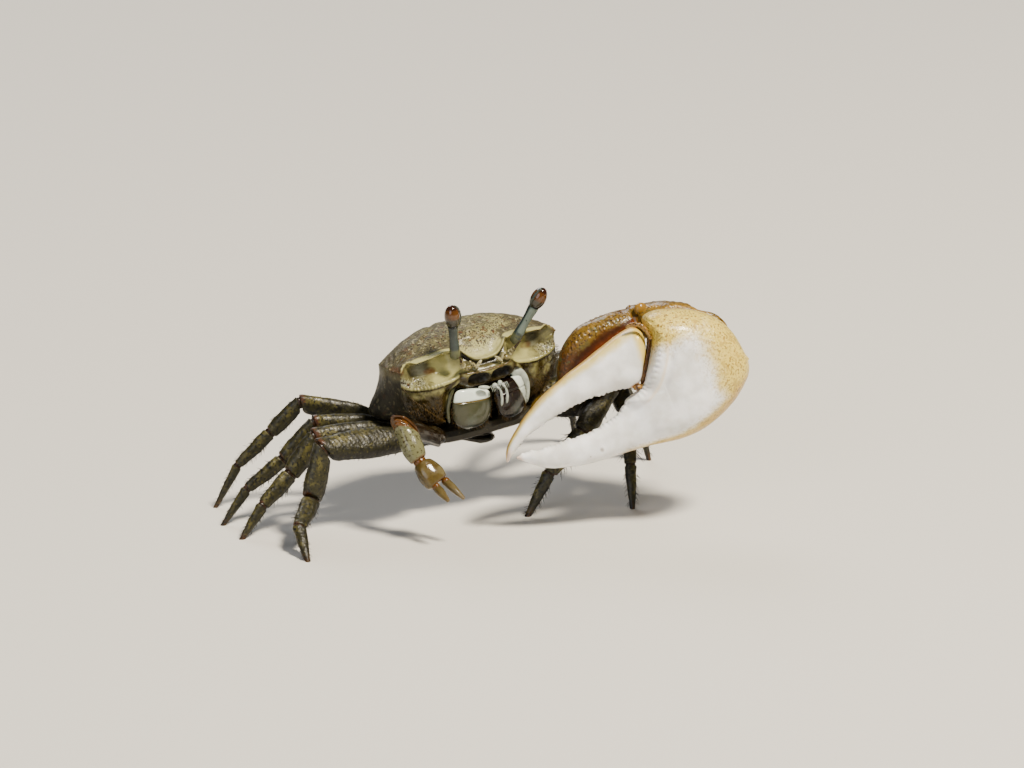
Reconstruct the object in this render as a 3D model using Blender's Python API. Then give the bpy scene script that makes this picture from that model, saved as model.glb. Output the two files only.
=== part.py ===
"""A male fiddler crab at life size, standing on its eight walking legs.

The crab faces -Y, its left side is +X and the floor is z = 0. Sizes are in millimetres in the tables and
turn into metres where a mesh is made. Pieces of the trunk are drawn in the body's own frame, whose origin is
midway between the outer corners of the two orbits. That frame is rolled, pitched and carried over the floor.
"""

import math
import random

import bmesh
import bpy
import numpy as np
from mathutils import Matrix, Vector

MM = 0.001
GAP = 0.3
SHARP_ANGLE = math.radians(40)

# Driving dimensions: the shell's width between the orbital corners, and how the body is carried
CARAPACE_WIDTH = 20.0
BODY_HEIGHT = 19.0
BODY_ROLL = math.radians(7.0)
BODY_PITCH = math.radians(6.0)

HALF_WIDTH = CARAPACE_WIDTH / 2
REAR_MARGIN_Y = 0.5 * CARAPACE_WIDTH
LOWER_FRONT_Y = 0.06 * CARAPACE_WIDTH
FACE_CENTRE_Z = -5.2
FACE_BULGE_Y = -2.3
REAR_CENTRE_Z = -3.4
REAR_BULGE = 1.3

# Shares of the shell's rings that lie on the face, and before the rear cap
FACE_SHARE = 0.42
BARREL_SHARE = 0.9

# Front edge of the shell from the midline out to the orbital corner: x, y, z
FRONT_EDGE = (
    (0.0, -2.3, -0.4),
    (1.6, -2.2, -0.1),
    (2.5, -2.0, 0.7),
    (3.2, -1.5, 1.4),
    (4.2, -1.2, 1.65),
    (6.2, -1.0, 1.4),
    (7.9, -0.6, 1.15),
    (9.2, -0.3, 0.85),
    (10.0, 0.0, 0.0),
)

# Shell from front to rear: share of its length, half width, edge height, crown height, underside
SHELL_ROWS = (
    (0.0, 10.0, 0.0, -0.4, -7.4),
    (0.15, 10.3, 0.15, 1.7, -7.4),
    (0.35, 10.4, 0.3, 2.9, -7.4),
    (0.6, 9.7, 0.0, 3.1, -7.3),
    (0.8, 8.3, -1.0, 2.3, -7.2),
    (0.92, 6.8, -2.0, 0.9, -7.0),
    (1.0, 5.6, -2.8, -0.6, -6.6),
)
ARCH_FULLNESS = 2.6
WALL_FULLNESS = 0.45
SIDE_SWELL_FRONT = 0.04
SIDE_SWELL_REAR = 0.36
ORBIT_DEPTH = 1.2
MOUTH_DEPTH = 1.4

STERNUM_FRONT_Y = -0.9
STERNUM_REAR_Y = 10.8
STERNUM_HALF_WIDTH = 6.5
STERNUM_TAPER = 0.1
STERNUM_TOP = -7.7
STERNUM_BOTTOM = -9.8

# Abdomen, folded forward under the sternum: half width along its middle line
ABDOMEN_ROWS = ((11.3, 0.0), (9.5, 2.3), (6.5, 2.1), (3.5, 1.7), (1.2, 1.1), (0.4, 0.0))
ABDOMEN_HALF_THICKNESS = 0.45

EYE_BASE = {"right": (-3.75, -2.0, 0.3), "left": (3.85, -1.6, 0.2)}
EYE_REACH = {"right": (-0.87, -0.67, 6.6), "left": (2.9, -2.1, 6.65)}
STALK_ROWS = ((0.0, 0.72), (0.2, 0.61), (0.55, 0.52), (1.0, 0.72))
CORNEA_WIDTH = 1.8
CORNEA_HEIGHT = 2.85
CORNEA_SHARE_SHOWN = 0.87

ANTENNA_BASE = (2.95, -2.03, -0.75)
ANTENNA_REACH = (1.0, -1.6, 1.6)
ANTENNA_ROWS = ((0.0, 0.42), (0.3, 0.38), (0.5, 0.25), (1.0, 0.14))

# Mouth plates (third maxillipeds). Their lower ends splay outwards, and the left one is swung slightly open
# about its outer edge.
PLATE_TOP = (2.35, -1.75, -3.6)
PLATE_EDGE_X = 4.4
PLATE_LEAN = 0.05
PLATE_SPLAY = {"right": 0.2, "left": 0.1}
PLATE_SWING = {"right": 0.0, "left": math.radians(12.0)}
PLATE_BACK = {"right": 0.3, "left": 0.6}
# Down from the top edge: length, inner half width, outer half width, bulge in front, thickness behind
PLATE_ROWS = (
    (0.0, 0.3, 0.3, 0.0, 0.0),
    (0.2, 1.7, 1.7, 0.5, 0.2),
    (1.2, 2.05, 2.1, 0.75, 0.25),
    (2.5, 2.1, 2.15, 0.85, 0.25),
    (3.6, 1.9, 1.9, 0.75, 0.25),
    (4.3, 1.2, 1.2, 0.45, 0.2),
    (4.7, 0.1, 0.1, 0.0, 0.0),
)

# Walking legs, front to rear: the hip's x and y in the body's frame, then knee, wrist, ankle and tip in the
# crab's frame, where the tip lies on the floor
HIP_Z = -8.7
LEG_JOINTS = {
    "leg_right_1": ((-6.6, 1.9), (-19.6, 0, -9.0), (-21.2, -0.4, -14.5), (-24.7, -4.2, -16.2), (-25.5, -7.8)),
    "leg_right_2": ((-6.7, 4.4), (-18.7, 4.1, -8.9), (-21.8, 3.9, -12.6), (-25.6, 3.4, -15.6), (-28.4, 3.0)),
    "leg_right_3": ((-6.5, 6.9), (-17.3, 7.0, -8.2), (-20.9, 7.7, -12.0), (-25.2, 8.3, -15.0), (-28.0, 8.8)),
    "leg_right_4": ((-6.1, 9.2), (-16.9, 11.4, -6.8), (-20, 12.7, -10.2), (-23.5, 14.2, -14), (-25.8, 15.4)),
    "leg_left_1": ((6.6, 1.9), (14.8, -2.6, -7.0), (10.9, -5.0, -9.7), (6.9, -4.6, -14.2), (4.2, -4.4)),
    "leg_left_2": ((6.7, 4.4), (18.3, 1.8, -5.0), (17.9, -2.6, -8.9), (17.0, -5.4, -14.4), (16.2, -7.4)),
    "leg_left_3": ((6.5, 6.9), (19.0, 9.4, -4.4), (23.3, 9.4, -8.2), (26.0, 9.0, -13.6), (27.3, 8.6)),
    "leg_left_4": ((6.1, 9.2), (15.6, 14.2, -5.0), (19.4, 16.6, -8.2), (22.0, 18.2, -13.4), (23.2, 19.2)),
}
LEG_SCALE = (1.18, 1.05, 0.95, 0.85)

# Limb segments: share of the length, half depth above the axis, half depth below it, half thickness
LEG_SEGMENTS = {
    "merus": (
        (0.0, 0.82, 0.8, 0.85),
        (0.2, 1.1, 1.0, 0.85),
        (0.5, 1.7, 1.35, 0.9),
        (0.75, 1.6, 1.25, 0.9),
        (1.0, 1.25, 1.0, 0.8),
    ),
    "carpus": (
        (0.0, 1.1, 0.85, 0.7),
        (0.35, 1.15, 1.0, 0.75),
        (0.7, 1.2, 1.05, 0.8),
        (1.0, 1.0, 0.9, 0.7),
    ),
    "propodus": (
        (0.0, 1.0, 0.85, 0.65),
        (0.4, 0.95, 0.85, 0.65),
        (0.8, 0.8, 0.7, 0.55),
        (1.0, 0.7, 0.65, 0.5),
    ),
    "dactyl": (
        (0.0, 0.7, 0.65, 0.5),
        (0.3, 0.62, 0.58, 0.45),
        (0.7, 0.45, 0.42, 0.36),
        (1.0, 0.3, 0.28, 0.28),
    ),
}
LEG_SIDES = 10
LEG_RINGS = 8
OVERRUN = 1.6

CLAW_ARM_JOINTS = ((6.6, -0.8), (10.2, -2.9, -5.6), (18.4, -4.6, 2.2), (23.0, -9.6, 2.0))
CLAW_ARM_UPS = ((-0.3, 0.0, 1.0), (-0.4, 0.0, 1.0), (0.0, 0.0, 1.0))
CLAW_ARM_SEGMENTS = {
    "ischium": ((0.0, 1.1, 1.1, 1.0), (0.5, 1.4, 1.3, 1.2), (1.0, 2.0, 1.5, 1.4)),
    "merus": (
        (0.0, 2.1, 1.4, 1.3),
        (0.25, 4.4, 1.8, 1.8),
        (0.55, 4.9, 2.1, 2.2),
        (0.8, 3.6, 2.3, 2.2),
        (1.0, 2.2, 2.2, 1.8),
    ),
    "carpus": ((0.0, 2.1, 2.1, 1.9), (0.35, 2.7, 2.3, 2.4), (0.7, 2.8, 2.3, 2.5), (1.0, 2.2, 2.0, 2.2)),
}
CLAW_ARM_SIDES = 14
CLAW_ARM_RINGS = 13

PINCER_JOINTS = ((-6.6, -0.6), (-11.6, -3.9, -6.2), (-10.6, -6.3, -9.9), (-9.2, -8.2, -12.1))
PINCER_ACROSS = (-0.9, 0.3, 0.2)
PINCER_SEGMENTS = {
    "merus": ((0.0, 0.8, 0.8, 0.8), (0.3, 1.1, 1.0, 0.95), (0.6, 1.35, 1.2, 1.1), (1.0, 1.2, 1.0, 1.0)),
    "carpus": ((0.0, 0.95, 0.95, 0.9), (0.35, 1.2, 1.2, 1.1), (0.7, 1.3, 1.2, 1.15), (1.0, 0.95, 0.9, 0.9)),
    "hand": ((0.0, 0.9, 0.9, 0.8), (0.35, 1.4, 1.35, 1.05), (0.7, 1.55, 1.5, 1.1), (1.0, 1.4, 1.3, 0.9)),
}
PINCER_FINGERS = {
    "fixed_finger": ((-9.75, -8.7, -12.4), (-9.5, -11.2, -13.4)),
    "movable_finger": ((-8.4, -8.5, -12.0), (-7.4, -11.0, -13.5)),
}
PINCER_FINGER_ROWS = (
    (0.0, 0.5, 0.5, 0.45),
    (0.3, 0.5, 0.5, 0.45),
    (0.7, 0.36, 0.36, 0.32),
    (1.0, 0.2, 0.2, 0.2),
)
PINCER_SIDES = 10
PINCER_RINGS = 9

# Large claw, drawn in a plane that faces forward: p runs from the heel to the tips, q towards the upper edge
CLAW_HINGE = Vector((15.45, -11.6, 1.05))
CLAW_ALONG = Vector((-0.926, 0.209, -0.310)).normalized()
CLAW_INWARD = Vector((0.271, 0.947, -0.174)).normalized()
CLAW_ROUNDNESS = 2.3

# Palm and fixed finger in chords: upper p, upper q, lower p, lower q, depth inside, depth outside
PALM_ROWS = (
    (-10.6, -5.0, -10.6, -5.4, 0.0, 0.0),
    (-10.1, -1.9, -10.4, -6.4, 1.7, 1.9),
    (-8.8, 0.6, -9.9, -7.3, 2.6, 3.0),
    (-6.7, 2.3, -9.2, -8.0, 3.1, 3.7),
    (-4.4, 3.3, -8.2, -8.7, 3.3, 4.1),
    (-2.5, 3.8, -7.2, -9.3, 3.3, 4.2),
    (-1.2, 3.7, -6.0, -9.9, 3.2, 4.1),
    (-0.85, 3.0, -5.0, -10.3, 3.1, 3.9),
    (-0.85, 1.1, -4.0, -10.6, 2.9, 3.6),
    (0.1, -0.8, -2.8, -10.9, 2.7, 3.2),
    (1.0, -2.4, -1.4, -11.0, 2.4, 2.8),
    (1.9, -3.9, 0.2, -10.9, 2.1, 2.5),
    (3.9, -4.5, 2.0, -10.6, 1.9, 2.2),
    (4.7, -5.2, 3.8, -10.3, 1.7, 2.0),
    (6.4, -6.0, 6.0, -10.1, 1.5, 1.8),
    (8.8, -6.5, 8.8, -9.9, 1.4, 1.6),
    (12.0, -6.4, 12.0, -9.4, 1.2, 1.4),
    (15.2, -6.2, 15.2, -8.4, 0.9, 1.1),
    (17.2, -5.8, 17.3, -6.9, 0.5, 0.6),
    (18.2, -5.9, 18.2, -6.1, 0.0, 0.0),
)
FINGER_ROWS = (
    (-0.35, 1.25, -0.28, 0.95, 0.0, 0.0),
    (-0.05, 2.35, 0.25, -0.1, 1.6, 1.6),
    (0.7, 3.0, 1.0, -1.5, 2.3, 2.3),
    (2.4, 2.8, 1.88, -3.03, 2.4, 2.4),
    (4.4, 2.2, 2.8, -3.4, 2.3, 2.3),
    (6.8, 1.5, 5.2, -2.9, 2.1, 2.1),
    (9.2, 0.8, 7.6, -2.7, 1.9, 1.9),
    (11.6, 0.0, 10.0, -2.8, 1.7, 1.7),
    (13.7, -0.9, 12.2, -3.1, 1.5, 1.5),
    (15.8, -2.1, 14.4, -3.6, 1.25, 1.25),
    (17.7, -3.5, 16.4, -4.2, 1.0, 1.0),
    (19.0, -4.8, 18.2, -5.3, 0.6, 0.6),
    (19.4, -6.1, 19.2, -6.1, 0.0, 0.0),
)

# Teeth of the large claw: the rows between which they stand, and the larger ones as p and relative size
TOOTH_RADIUS = 0.4
TOOTH_CROWN = 0.14
TOOTH_HEIGHT = 0.2
TOOTH_ROOT = 0.3
TOOTH_SPACING = 0.62
TOOTH_TURN = math.radians(10.0)
TOOTH_SIZES = (0.8, 1.15)
TOOTH_WANDER = 0.08
PALM_TEETH = (12.4, 18.3, ((7.2, 1.5), (11.8, 1.9), (16.3, 1.7)))
FINGER_TEETH = (4.0, 11.3, ((6.6, 1.8), (12.6, 1.3)))


# Curves and meshes


def smooth(x, stations, values):
    """Cubic curve through the values at the stations, with slopes taken from the neighbours."""
    stations = np.asarray(stations, float)
    values = np.asarray(values, float)
    slopes = np.gradient(values, stations)
    x = np.clip(x, stations[0], stations[-1])
    i = np.clip(np.searchsorted(stations, x, side="right") - 1, 0, len(stations) - 2)
    step = stations[i + 1] - stations[i]
    s = (x - stations[i]) / step
    start = (1 + 2 * s) * (1 - s) ** 2 * values[i] + s * (1 - s) ** 2 * step * slopes[i]
    end = s**2 * (3 - 2 * s) * values[i + 1] + s**2 * (s - 1) * step * slopes[i + 1]
    return start + end


def columns_at(x, rows):
    """The rows' columns after the first, read at x along the first column."""
    stations, *columns = np.array(rows).T
    return [smooth(x, stations, values) for values in columns]


def power(value, exponent):
    """Raises the size of a value and keeps its sign."""
    return np.sign(value) * np.abs(value) ** exponent


def ramp(value, low, high):
    """0 below low, 1 above high, and a smooth step between."""
    share = np.clip((value - low) / (high - low), 0, 1)
    return share**2 * (3 - 2 * share)


def eased(share):
    """Places from 0 to 1 that crowd together at both ends."""
    return (1 - np.cos(share * math.pi)) / 2


def blunt(at):
    """Radius of a tube with closed, nearly flat ends, as a share of its full radius."""
    return (1 - np.abs(2 * at - 1) ** 8) ** 0.5


def sphere_mesh(sides, rings, surface):
    """A UV sphere whose points move to surface(share from pole to pole, angle), given in millimetres."""
    bm = bmesh.new()
    bmesh.ops.create_uvsphere(bm, u_segments=sides, v_segments=rings, radius=1.0)
    unit = np.array([v.co for v in bm.verts])
    share = np.arccos(np.clip(-unit[:, 2], -1, 1)) / math.pi
    angle = np.arctan2(unit[:, 1], unit[:, 0])
    for vertex, point in zip(bm.verts, surface(share, angle)):
        vertex.co = Vector(point) * MM
    if bm.calc_volume(signed=True) < 0:
        bmesh.ops.reverse_faces(bm, faces=bm.faces)
    return bm


def trim(bm, point, normal):
    """Cuts away what lies on the normal's side of a plane through the point, and closes the cut."""
    cut = bmesh.ops.bisect_plane(
        bm,
        geom=bm.verts[:] + bm.edges[:] + bm.faces[:],
        dist=1e-7,
        plane_co=Vector(point) * MM,
        plane_no=normal,
        clear_outer=True,
    )
    edges = [e for e in cut["geom_cut"] if isinstance(e, bmesh.types.BMEdge)]
    for face in bmesh.ops.edgeloop_fill(bm, edges=edges)["faces"]:
        if face.normal.dot(normal) < 0:
            face.normal_flip()


def outline_surface(rows):
    """A flat piece drawn by chords: x and y of both edges, and the depth below and above their plane."""
    index = np.arange(len(rows))
    columns = np.array(rows).T

    def surface(share, angle):
        at = share * (len(rows) - 1)
        upper_x, upper_y, lower_x, lower_y, below, above = (smooth(at, index, values) for values in columns)
        across = power(np.cos(angle), 2 / CLAW_ROUNDNESS)
        x = (upper_x + lower_x) / 2 + (upper_x - lower_x) / 2 * across
        y = (upper_y + lower_y) / 2 + (upper_y - lower_y) / 2 * across
        depth = np.where(np.sin(angle) > 0, above, below)
        return np.column_stack([x, y, depth * power(np.sin(angle), 2 / CLAW_ROUNDNESS)])

    return surface


def turned_surface(rows, length):
    """A round rod along +Z: the rows give its radius at shares of its length."""

    def surface(share, angle):
        at = eased(share)
        (radius,) = columns_at(at, rows)
        radius = radius * blunt(at)
        return np.column_stack([radius * np.cos(angle), radius * np.sin(angle), at * length])

    return surface


def segment_surface(rows, length, overrun_end):
    """A limb segment along +Z, deep in x and thin in y, drawn past its joints so that a cut can end it."""

    def surface(share, angle):
        at = eased(share)
        along = -OVERRUN + at * (OVERRUN + length + overrun_end)
        above, below, thick = columns_at(np.clip(along / length, 0, 1), rows)
        depth = np.where(np.cos(angle) > 0, above, below)
        x = depth * blunt(at) * power(np.cos(angle), 0.9)
        y = thick * blunt(at) * power(np.sin(angle), 0.9)
        return np.column_stack([x, y, along])

    return surface


# Objects


def material(name, colour, roughness):
    made = bpy.data.materials.new(name)
    made.use_nodes = True
    shader = made.node_tree.nodes["Principled BSDF"]
    shader.inputs["Base Color"].default_value = (*colour, 1.0)
    shader.inputs["Roughness"].default_value = roughness
    shader.inputs["Metallic"].default_value = 0.0
    return made


def frame_of(origin, x_axis, z_axis):
    """Placing whose z axis is z_axis and whose x axis is the part of x_axis square to it."""
    z_axis = Vector(z_axis).normalized()
    x_axis = Vector(x_axis)
    x_axis = (x_axis - x_axis.dot(z_axis) * z_axis).normalized()
    turned = Matrix((x_axis, z_axis.cross(x_axis), z_axis)).transposed().to_4x4()
    return Matrix.Translation(Vector(origin)) @ turned


def new_object(name, bm, parent, collection):
    mesh = bpy.data.meshes.new(name)
    bm.to_mesh(mesh)
    bm.free()
    made = bpy.data.objects.new(name, mesh)
    made.parent = parent
    collection.objects.link(made)
    return made


def add_part(name, bm, finish, parent, placing=None):
    """A part of the crab, with its material, placed by its location and rotation under the parent."""
    made = new_object(name, bm, parent, parts)
    made.data.materials.append(finish)
    made.data.shade_smooth()
    made.data.set_sharp_from_angle(angle=SHARP_ANGLE)
    if placing is not None:
        made.rotation_mode = "QUATERNION"
        made.location = placing.to_translation() * MM
        made.rotation_quaternion = placing.to_quaternion()
    return made


# The shell


def front_edge(off):
    """Where the shell's front edge lies, y and z, at a distance off from the midline."""
    return columns_at(off, FRONT_EDGE)


def orbit_hollow(x, z):
    """How far the face sinks between the shell's front edge and the ridge under each eye."""
    off = np.abs(x)
    ceiling = front_edge(off)[1]
    along = ramp(off, 2.4, 4.2) * (1 - ramp(off, 8.0, 9.8))
    across = ramp(z, -2.4, -0.9) * (1 - ramp(z, ceiling - 0.7, ceiling + 0.1))
    return ORBIT_DEPTH * along * across


def mouth_hollow(x, z):
    """How far the face sinks behind the mouth plates."""
    return MOUTH_DEPTH * (1 - ramp(np.abs(x), 4.2, 6.4)) * (1 - ramp(z, -3.8, -2.0))


def shell_surface(share, angle):
    """The shell from the middle of the face (share 0) to the middle of the rear (share 1). Angle 90 is up."""
    across, up = np.cos(angle), np.sin(angle)
    on_face = np.clip(share / FACE_SHARE, 0, 1)
    along = np.clip((share - FACE_SHARE) / (BARREL_SHARE - FACE_SHARE), 0, 1)
    closing = np.clip((share - BARREL_SHARE) / (1 - BARREL_SHARE), 0, 1)
    half, edge_z, crown_z, under_z = columns_at(along, SHELL_ROWS)
    margin_y, margin_z = front_edge(np.abs(across) * HALF_WIDTH)

    # Upper half: a flat arch whose front edge is the margin over the eyes
    arch = edge_z + (crown_z - edge_z) * (1 - np.abs(across) ** ARCH_FULLNESS)
    behind = ramp(along, 0.0, 0.22)
    upper_z = margin_z * (1 - behind) + arch * behind
    upper_y = margin_y + along * (REAR_MARGIN_Y - margin_y)

    # Lower half: side walls that swell and then turn in to the leg bases
    drop = np.abs(up) ** 0.75
    swell = SIDE_SWELL_FRONT + (SIDE_SWELL_REAR - SIDE_SWELL_FRONT) * ramp(along, 0.0, 0.6)
    lower_x = power(across, WALL_FULLNESS) * (1 + swell * np.sin(2 * np.abs(angle)) ** 2)
    lower_z = edge_z + (under_z - edge_z) * drop
    lower_y = LOWER_FRONT_Y * drop * (1 - along) + along * REAR_MARGIN_Y

    x = half * np.where(up > 0, across, lower_x)
    y = np.where(up > 0, upper_y, lower_y)
    z = np.where(up > 0, upper_z, lower_z)

    # Face: rings that draw in to its centre on a bulge, with the orbits and the mouth hollowed out
    x = x * on_face
    z = FACE_CENTRE_Z + (z - FACE_CENTRE_Z) * on_face
    y = FACE_BULGE_Y + (y - FACE_BULGE_Y) * on_face**2.2
    y = y + np.where(share < FACE_SHARE, orbit_hollow(x, z) + mouth_hollow(x, z), 0)

    # Rear cap
    shrink = np.sqrt(1 - closing**2)
    x = x * shrink
    z = REAR_CENTRE_Z + (z - REAR_CENTRE_Z) * shrink
    return np.column_stack([x, y + REAR_BULGE * closing, z])


def build_shell():
    add_part("carapace", sphere_mesh(52, 32, shell_surface), SHELL, body)


# The underside


def root_plane(side):
    """Point and outward normal of the sternum's side, where the limbs start, in the crab's frame."""
    point = Vector((side * STERNUM_HALF_WIDTH, 0, HIP_Z))
    normal = Vector((side, STERNUM_TAPER, 0)).normalized()
    return body_turn @ point, body_turn @ normal


def sternum_surface(share, angle):
    """A flat slab with rounded corners, drawn wider than it is so that the root planes can cut its sides."""
    half_length = (STERNUM_REAR_Y - STERNUM_FRONT_Y) / 2
    half_height = (STERNUM_TOP - STERNUM_BOTTOM) / 2
    reach = power(np.sin(share * math.pi), 0.45)
    x = 1.25 * STERNUM_HALF_WIDTH * reach * power(np.cos(angle), 0.6)
    y = STERNUM_FRONT_Y + half_length * (1 + reach * power(np.sin(angle), 0.6))
    z = STERNUM_BOTTOM + half_height * (1 - power(np.cos(share * math.pi), 0.6))
    return np.column_stack([x, y, z])


def build_sternum():
    bm = sphere_mesh(20, 8, sternum_surface)
    to_body = body_turn.inverted()
    for side in (-1, 1):
        point, normal = root_plane(side)
        trim(bm, to_body @ point, to_body @ normal)
    add_part("sternum", bm, UNDERSIDE, body)


def build_abdomen():
    thickness = [ABDOMEN_HALF_THICKNESS if width else 0.0 for _, width in ABDOMEN_ROWS]
    rows = [(y, width, y, -width, depth, depth) for (y, width), depth in zip(ABDOMEN_ROWS, thickness)]
    placing = frame_of((0, 0, STERNUM_BOTTOM - GAP - ABDOMEN_HALF_THICKNESS), (0, 1, 0), (0, 0, -1))
    add_part("abdomen", sphere_mesh(10, 9, outline_surface(rows)), UNDERSIDE, body, placing)


# Eyes, antennae and mouth plates


def build_eyes():
    for name, reach_of_eye in EYE_REACH.items():
        reach = Vector(reach_of_eye)
        length = reach.length
        seam = length - CORNEA_SHARE_SHOWN * CORNEA_HEIGHT

        def cornea(share, angle):
            radius = CORNEA_WIDTH / 2 * np.sin(share * math.pi)
            z = length - CORNEA_HEIGHT * (1 - eased(share))
            return np.column_stack([radius * np.cos(angle), radius * np.sin(angle), z])

        placing = frame_of(body_turn @ Vector(EYE_BASE[name]), Vector((0, 1, 0)).cross(reach), reach)
        stalk = sphere_mesh(10, 9, turned_surface(STALK_ROWS, seam + CORNEA_WIDTH / 2))
        trim(stalk, (0, 0, seam - GAP / 2), (0, 0, 1))
        add_part(f"eyestalk_{name}", stalk, STALK, crab, placing)
        eye = sphere_mesh(14, 10, cornea)
        trim(eye, (0, 0, seam + GAP / 2), (0, 0, -1))
        add_part(f"eye_{name}", eye, EYE, crab, placing)


def build_antennae():
    for side, name in ((-1, "right"), (1, "left")):
        mirror = Vector((side, 1, 1))
        reach = Vector(ANTENNA_REACH) * mirror
        placing = frame_of(Vector(ANTENNA_BASE) * mirror, Vector((0, 1, 0)).cross(reach), reach)
        feeler = sphere_mesh(8, 8, turned_surface(ANTENNA_ROWS, reach.length))
        add_part(f"antenna_{name}", feeler, UNDERSIDE, body, placing)


def build_mouth_plates():
    for side, name in ((-1, "right"), (1, "left")):
        top = Vector((side * PLATE_TOP[0], PLATE_TOP[1] + PLATE_BACK[name], PLATE_TOP[2]))
        edge = Vector((side * PLATE_EDGE_X, top.y, 0))
        swing = Matrix.Rotation(side * PLATE_SWING[name], 4, "Z")
        placing = Matrix.Translation(edge) @ swing @ Matrix.Translation(-edge)
        placing = placing @ frame_of(top, (side * PLATE_SPLAY[name], PLATE_LEAN, -1), (0, -1, -PLATE_LEAN))
        rows = [(x, -side * a, x, side * b, back, bulge) for x, a, b, bulge, back in PLATE_ROWS]
        add_part(f"mouth_plate_{name}", sphere_mesh(12, 12, outline_surface(rows)), PLATE, body, placing)


# Limbs


def build_limb(name, joints, segments, root, end, finish, mesh_size, ups=None):
    """A chain of segments along the joints, cut by the root and end planes and by mitres at the joints."""
    names = list(segments)
    directions = [(b - a).normalized() for a, b in zip(joints, joints[1:])]
    mitres = [(a + b).normalized() for a, b in zip(directions, directions[1:])]
    bend_normal = (joints[1] - joints[0]).cross(joints[-1] - joints[1])
    for i, part in enumerate(names):
        along = directions[i]
        if ups:
            x_axis = Vector(ups[i])
        else:
            x_axis = bend_normal.cross(along)
            outward = directions[max(i - 1, 0)] - directions[min(i + 1, len(names) - 1)]
            x_axis = x_axis if x_axis.dot(outward) > 0 else -x_axis
        placing = frame_of(joints[i], x_axis, along)
        length = (joints[i + 1] - joints[i]).length
        last = i == len(names) - 1
        bm = sphere_mesh(*mesh_size, segment_surface(segments[part], length, GAP if last else OVERRUN))
        start_cut = (root[0] + root[1] * GAP, -root[1])
        if i:
            start_cut = (joints[i] + mitres[i - 1] * GAP / 2, -mitres[i - 1])
        end_cut = end if last else (joints[i + 1] - mitres[i] * GAP / 2, mitres[i])
        to_segment = placing.inverted()
        for point, normal in (start_cut, end_cut):
            trim(bm, to_segment @ point, to_segment.to_3x3() @ normal)
        add_part(f"{name}_{part}", bm, finish, crab, placing)


def limb_joints(points):
    """The joints as vectors: the hip, given in the body's frame, and the rest in the crab's."""
    return [body_turn @ Vector((*points[0], HIP_Z))] + [Vector(p) for p in points[1:]]


def build_walking_legs():
    floor = (Vector((0, 0, -BODY_HEIGHT)), Vector((0, 0, -1)))
    for name, points in LEG_JOINTS.items():
        scale = LEG_SCALE[int(name[-1]) - 1]
        joints = limb_joints((*points[:-1], (*points[-1], -BODY_HEIGHT)))
        segments = {
            part: [(at, scale * above, scale * below, scale * thick) for at, above, below, thick in rows]
            for part, rows in LEG_SEGMENTS.items()
        }
        root = root_plane(-1 if "right" in name else 1)
        build_limb(name, joints, segments, root, floor, LEG, (LEG_SIDES, LEG_RINGS))


def build_claw_arm():
    palm_back = CLAW_HINGE + CLAW_INWARD * (max(row[4] for row in PALM_ROWS) + GAP)
    mesh_size = (CLAW_ARM_SIDES, CLAW_ARM_RINGS)
    joints = limb_joints(CLAW_ARM_JOINTS)
    end = (palm_back, -CLAW_INWARD)
    build_limb("claw", joints, CLAW_ARM_SEGMENTS, root_plane(1), end, ARM, mesh_size, CLAW_ARM_UPS)


def build_pincer():
    joints = limb_joints(PINCER_JOINTS)
    base, along = joints[-1], (joints[-1] - joints[-2]).normalized()
    ups = [PINCER_ACROSS] * len(PINCER_SEGMENTS)
    mesh_size = (PINCER_SIDES, PINCER_RINGS)
    build_limb("pincer", joints, PINCER_SEGMENTS, root_plane(-1), (base, along), PINCER, mesh_size, ups)
    for name, (start, tip) in PINCER_FINGERS.items():
        reach = Vector(tip) - Vector(start)
        placing = frame_of(start, PINCER_ACROSS, reach)
        to_finger = placing.inverted()
        bm = sphere_mesh(*mesh_size, segment_surface(PINCER_FINGER_ROWS, reach.length, 0.0))
        trim(bm, to_finger @ (base + along * GAP), to_finger.to_3x3() @ -along)
        add_part(f"pincer_{name}", bm, PINCER, crab, placing)


# The large claw


def tooth(size, foot, outward, collection, piece):
    """A low, blunt cone whose root is sunk in the finger."""
    depth = (TOOTH_HEIGHT + TOOTH_ROOT) * size
    bm = bmesh.new()
    bmesh.ops.create_cone(
        bm,
        cap_ends=True,
        segments=6,
        radius1=TOOTH_RADIUS * size * MM,
        radius2=TOOTH_CROWN * size * MM,
        depth=depth * MM,
    )
    centre = foot + outward * (TOOTH_HEIGHT * size - depth / 2)
    turned = outward.to_track_quat("Z", "Y").to_matrix().to_4x4() @ Matrix.Rotation(TOOTH_TURN, 4, "Z")
    bm.transform(Matrix.Translation(centre * MM) @ turned)
    new_object("tooth", bm, piece, collection)


def row_of_teeth(edge, stretch, upward, piece):
    """Teeth at even steps along the biting edge of a finger, in a collection of their own."""
    first, last, larger = stretch
    index = np.arange(len(edge[0]))
    path = np.stack([smooth(np.linspace(first, last, 400), index, values) for values in edge], -1)
    steps = np.diff(path, axis=0)
    walked = np.concatenate([[0], np.cumsum(np.hypot(steps[:, 0], steps[:, 1]))])
    teeth = bpy.data.collections.new("teeth")
    for at in np.arange(0, walked[-1], TOOTH_SPACING):
        near = [[np.interp(at + shift, walked, path[:, i]) for i in range(2)] for shift in (-GAP, 0, GAP)]
        along = Vector((near[2][0] - near[0][0], near[2][1] - near[0][1], 0)).normalized()
        outward = Vector((0, 0, upward)).cross(along)
        size = random.uniform(*TOOTH_SIZES)
        for place, larger_size in larger:
            if abs(place - near[1][0]) < TOOTH_SPACING / 2:
                size = larger_size
        foot = Vector((*near[1], random.uniform(-TOOTH_WANDER, TOOTH_WANDER)))
        tooth(size, foot, outward, teeth, piece)
    return teeth


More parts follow.
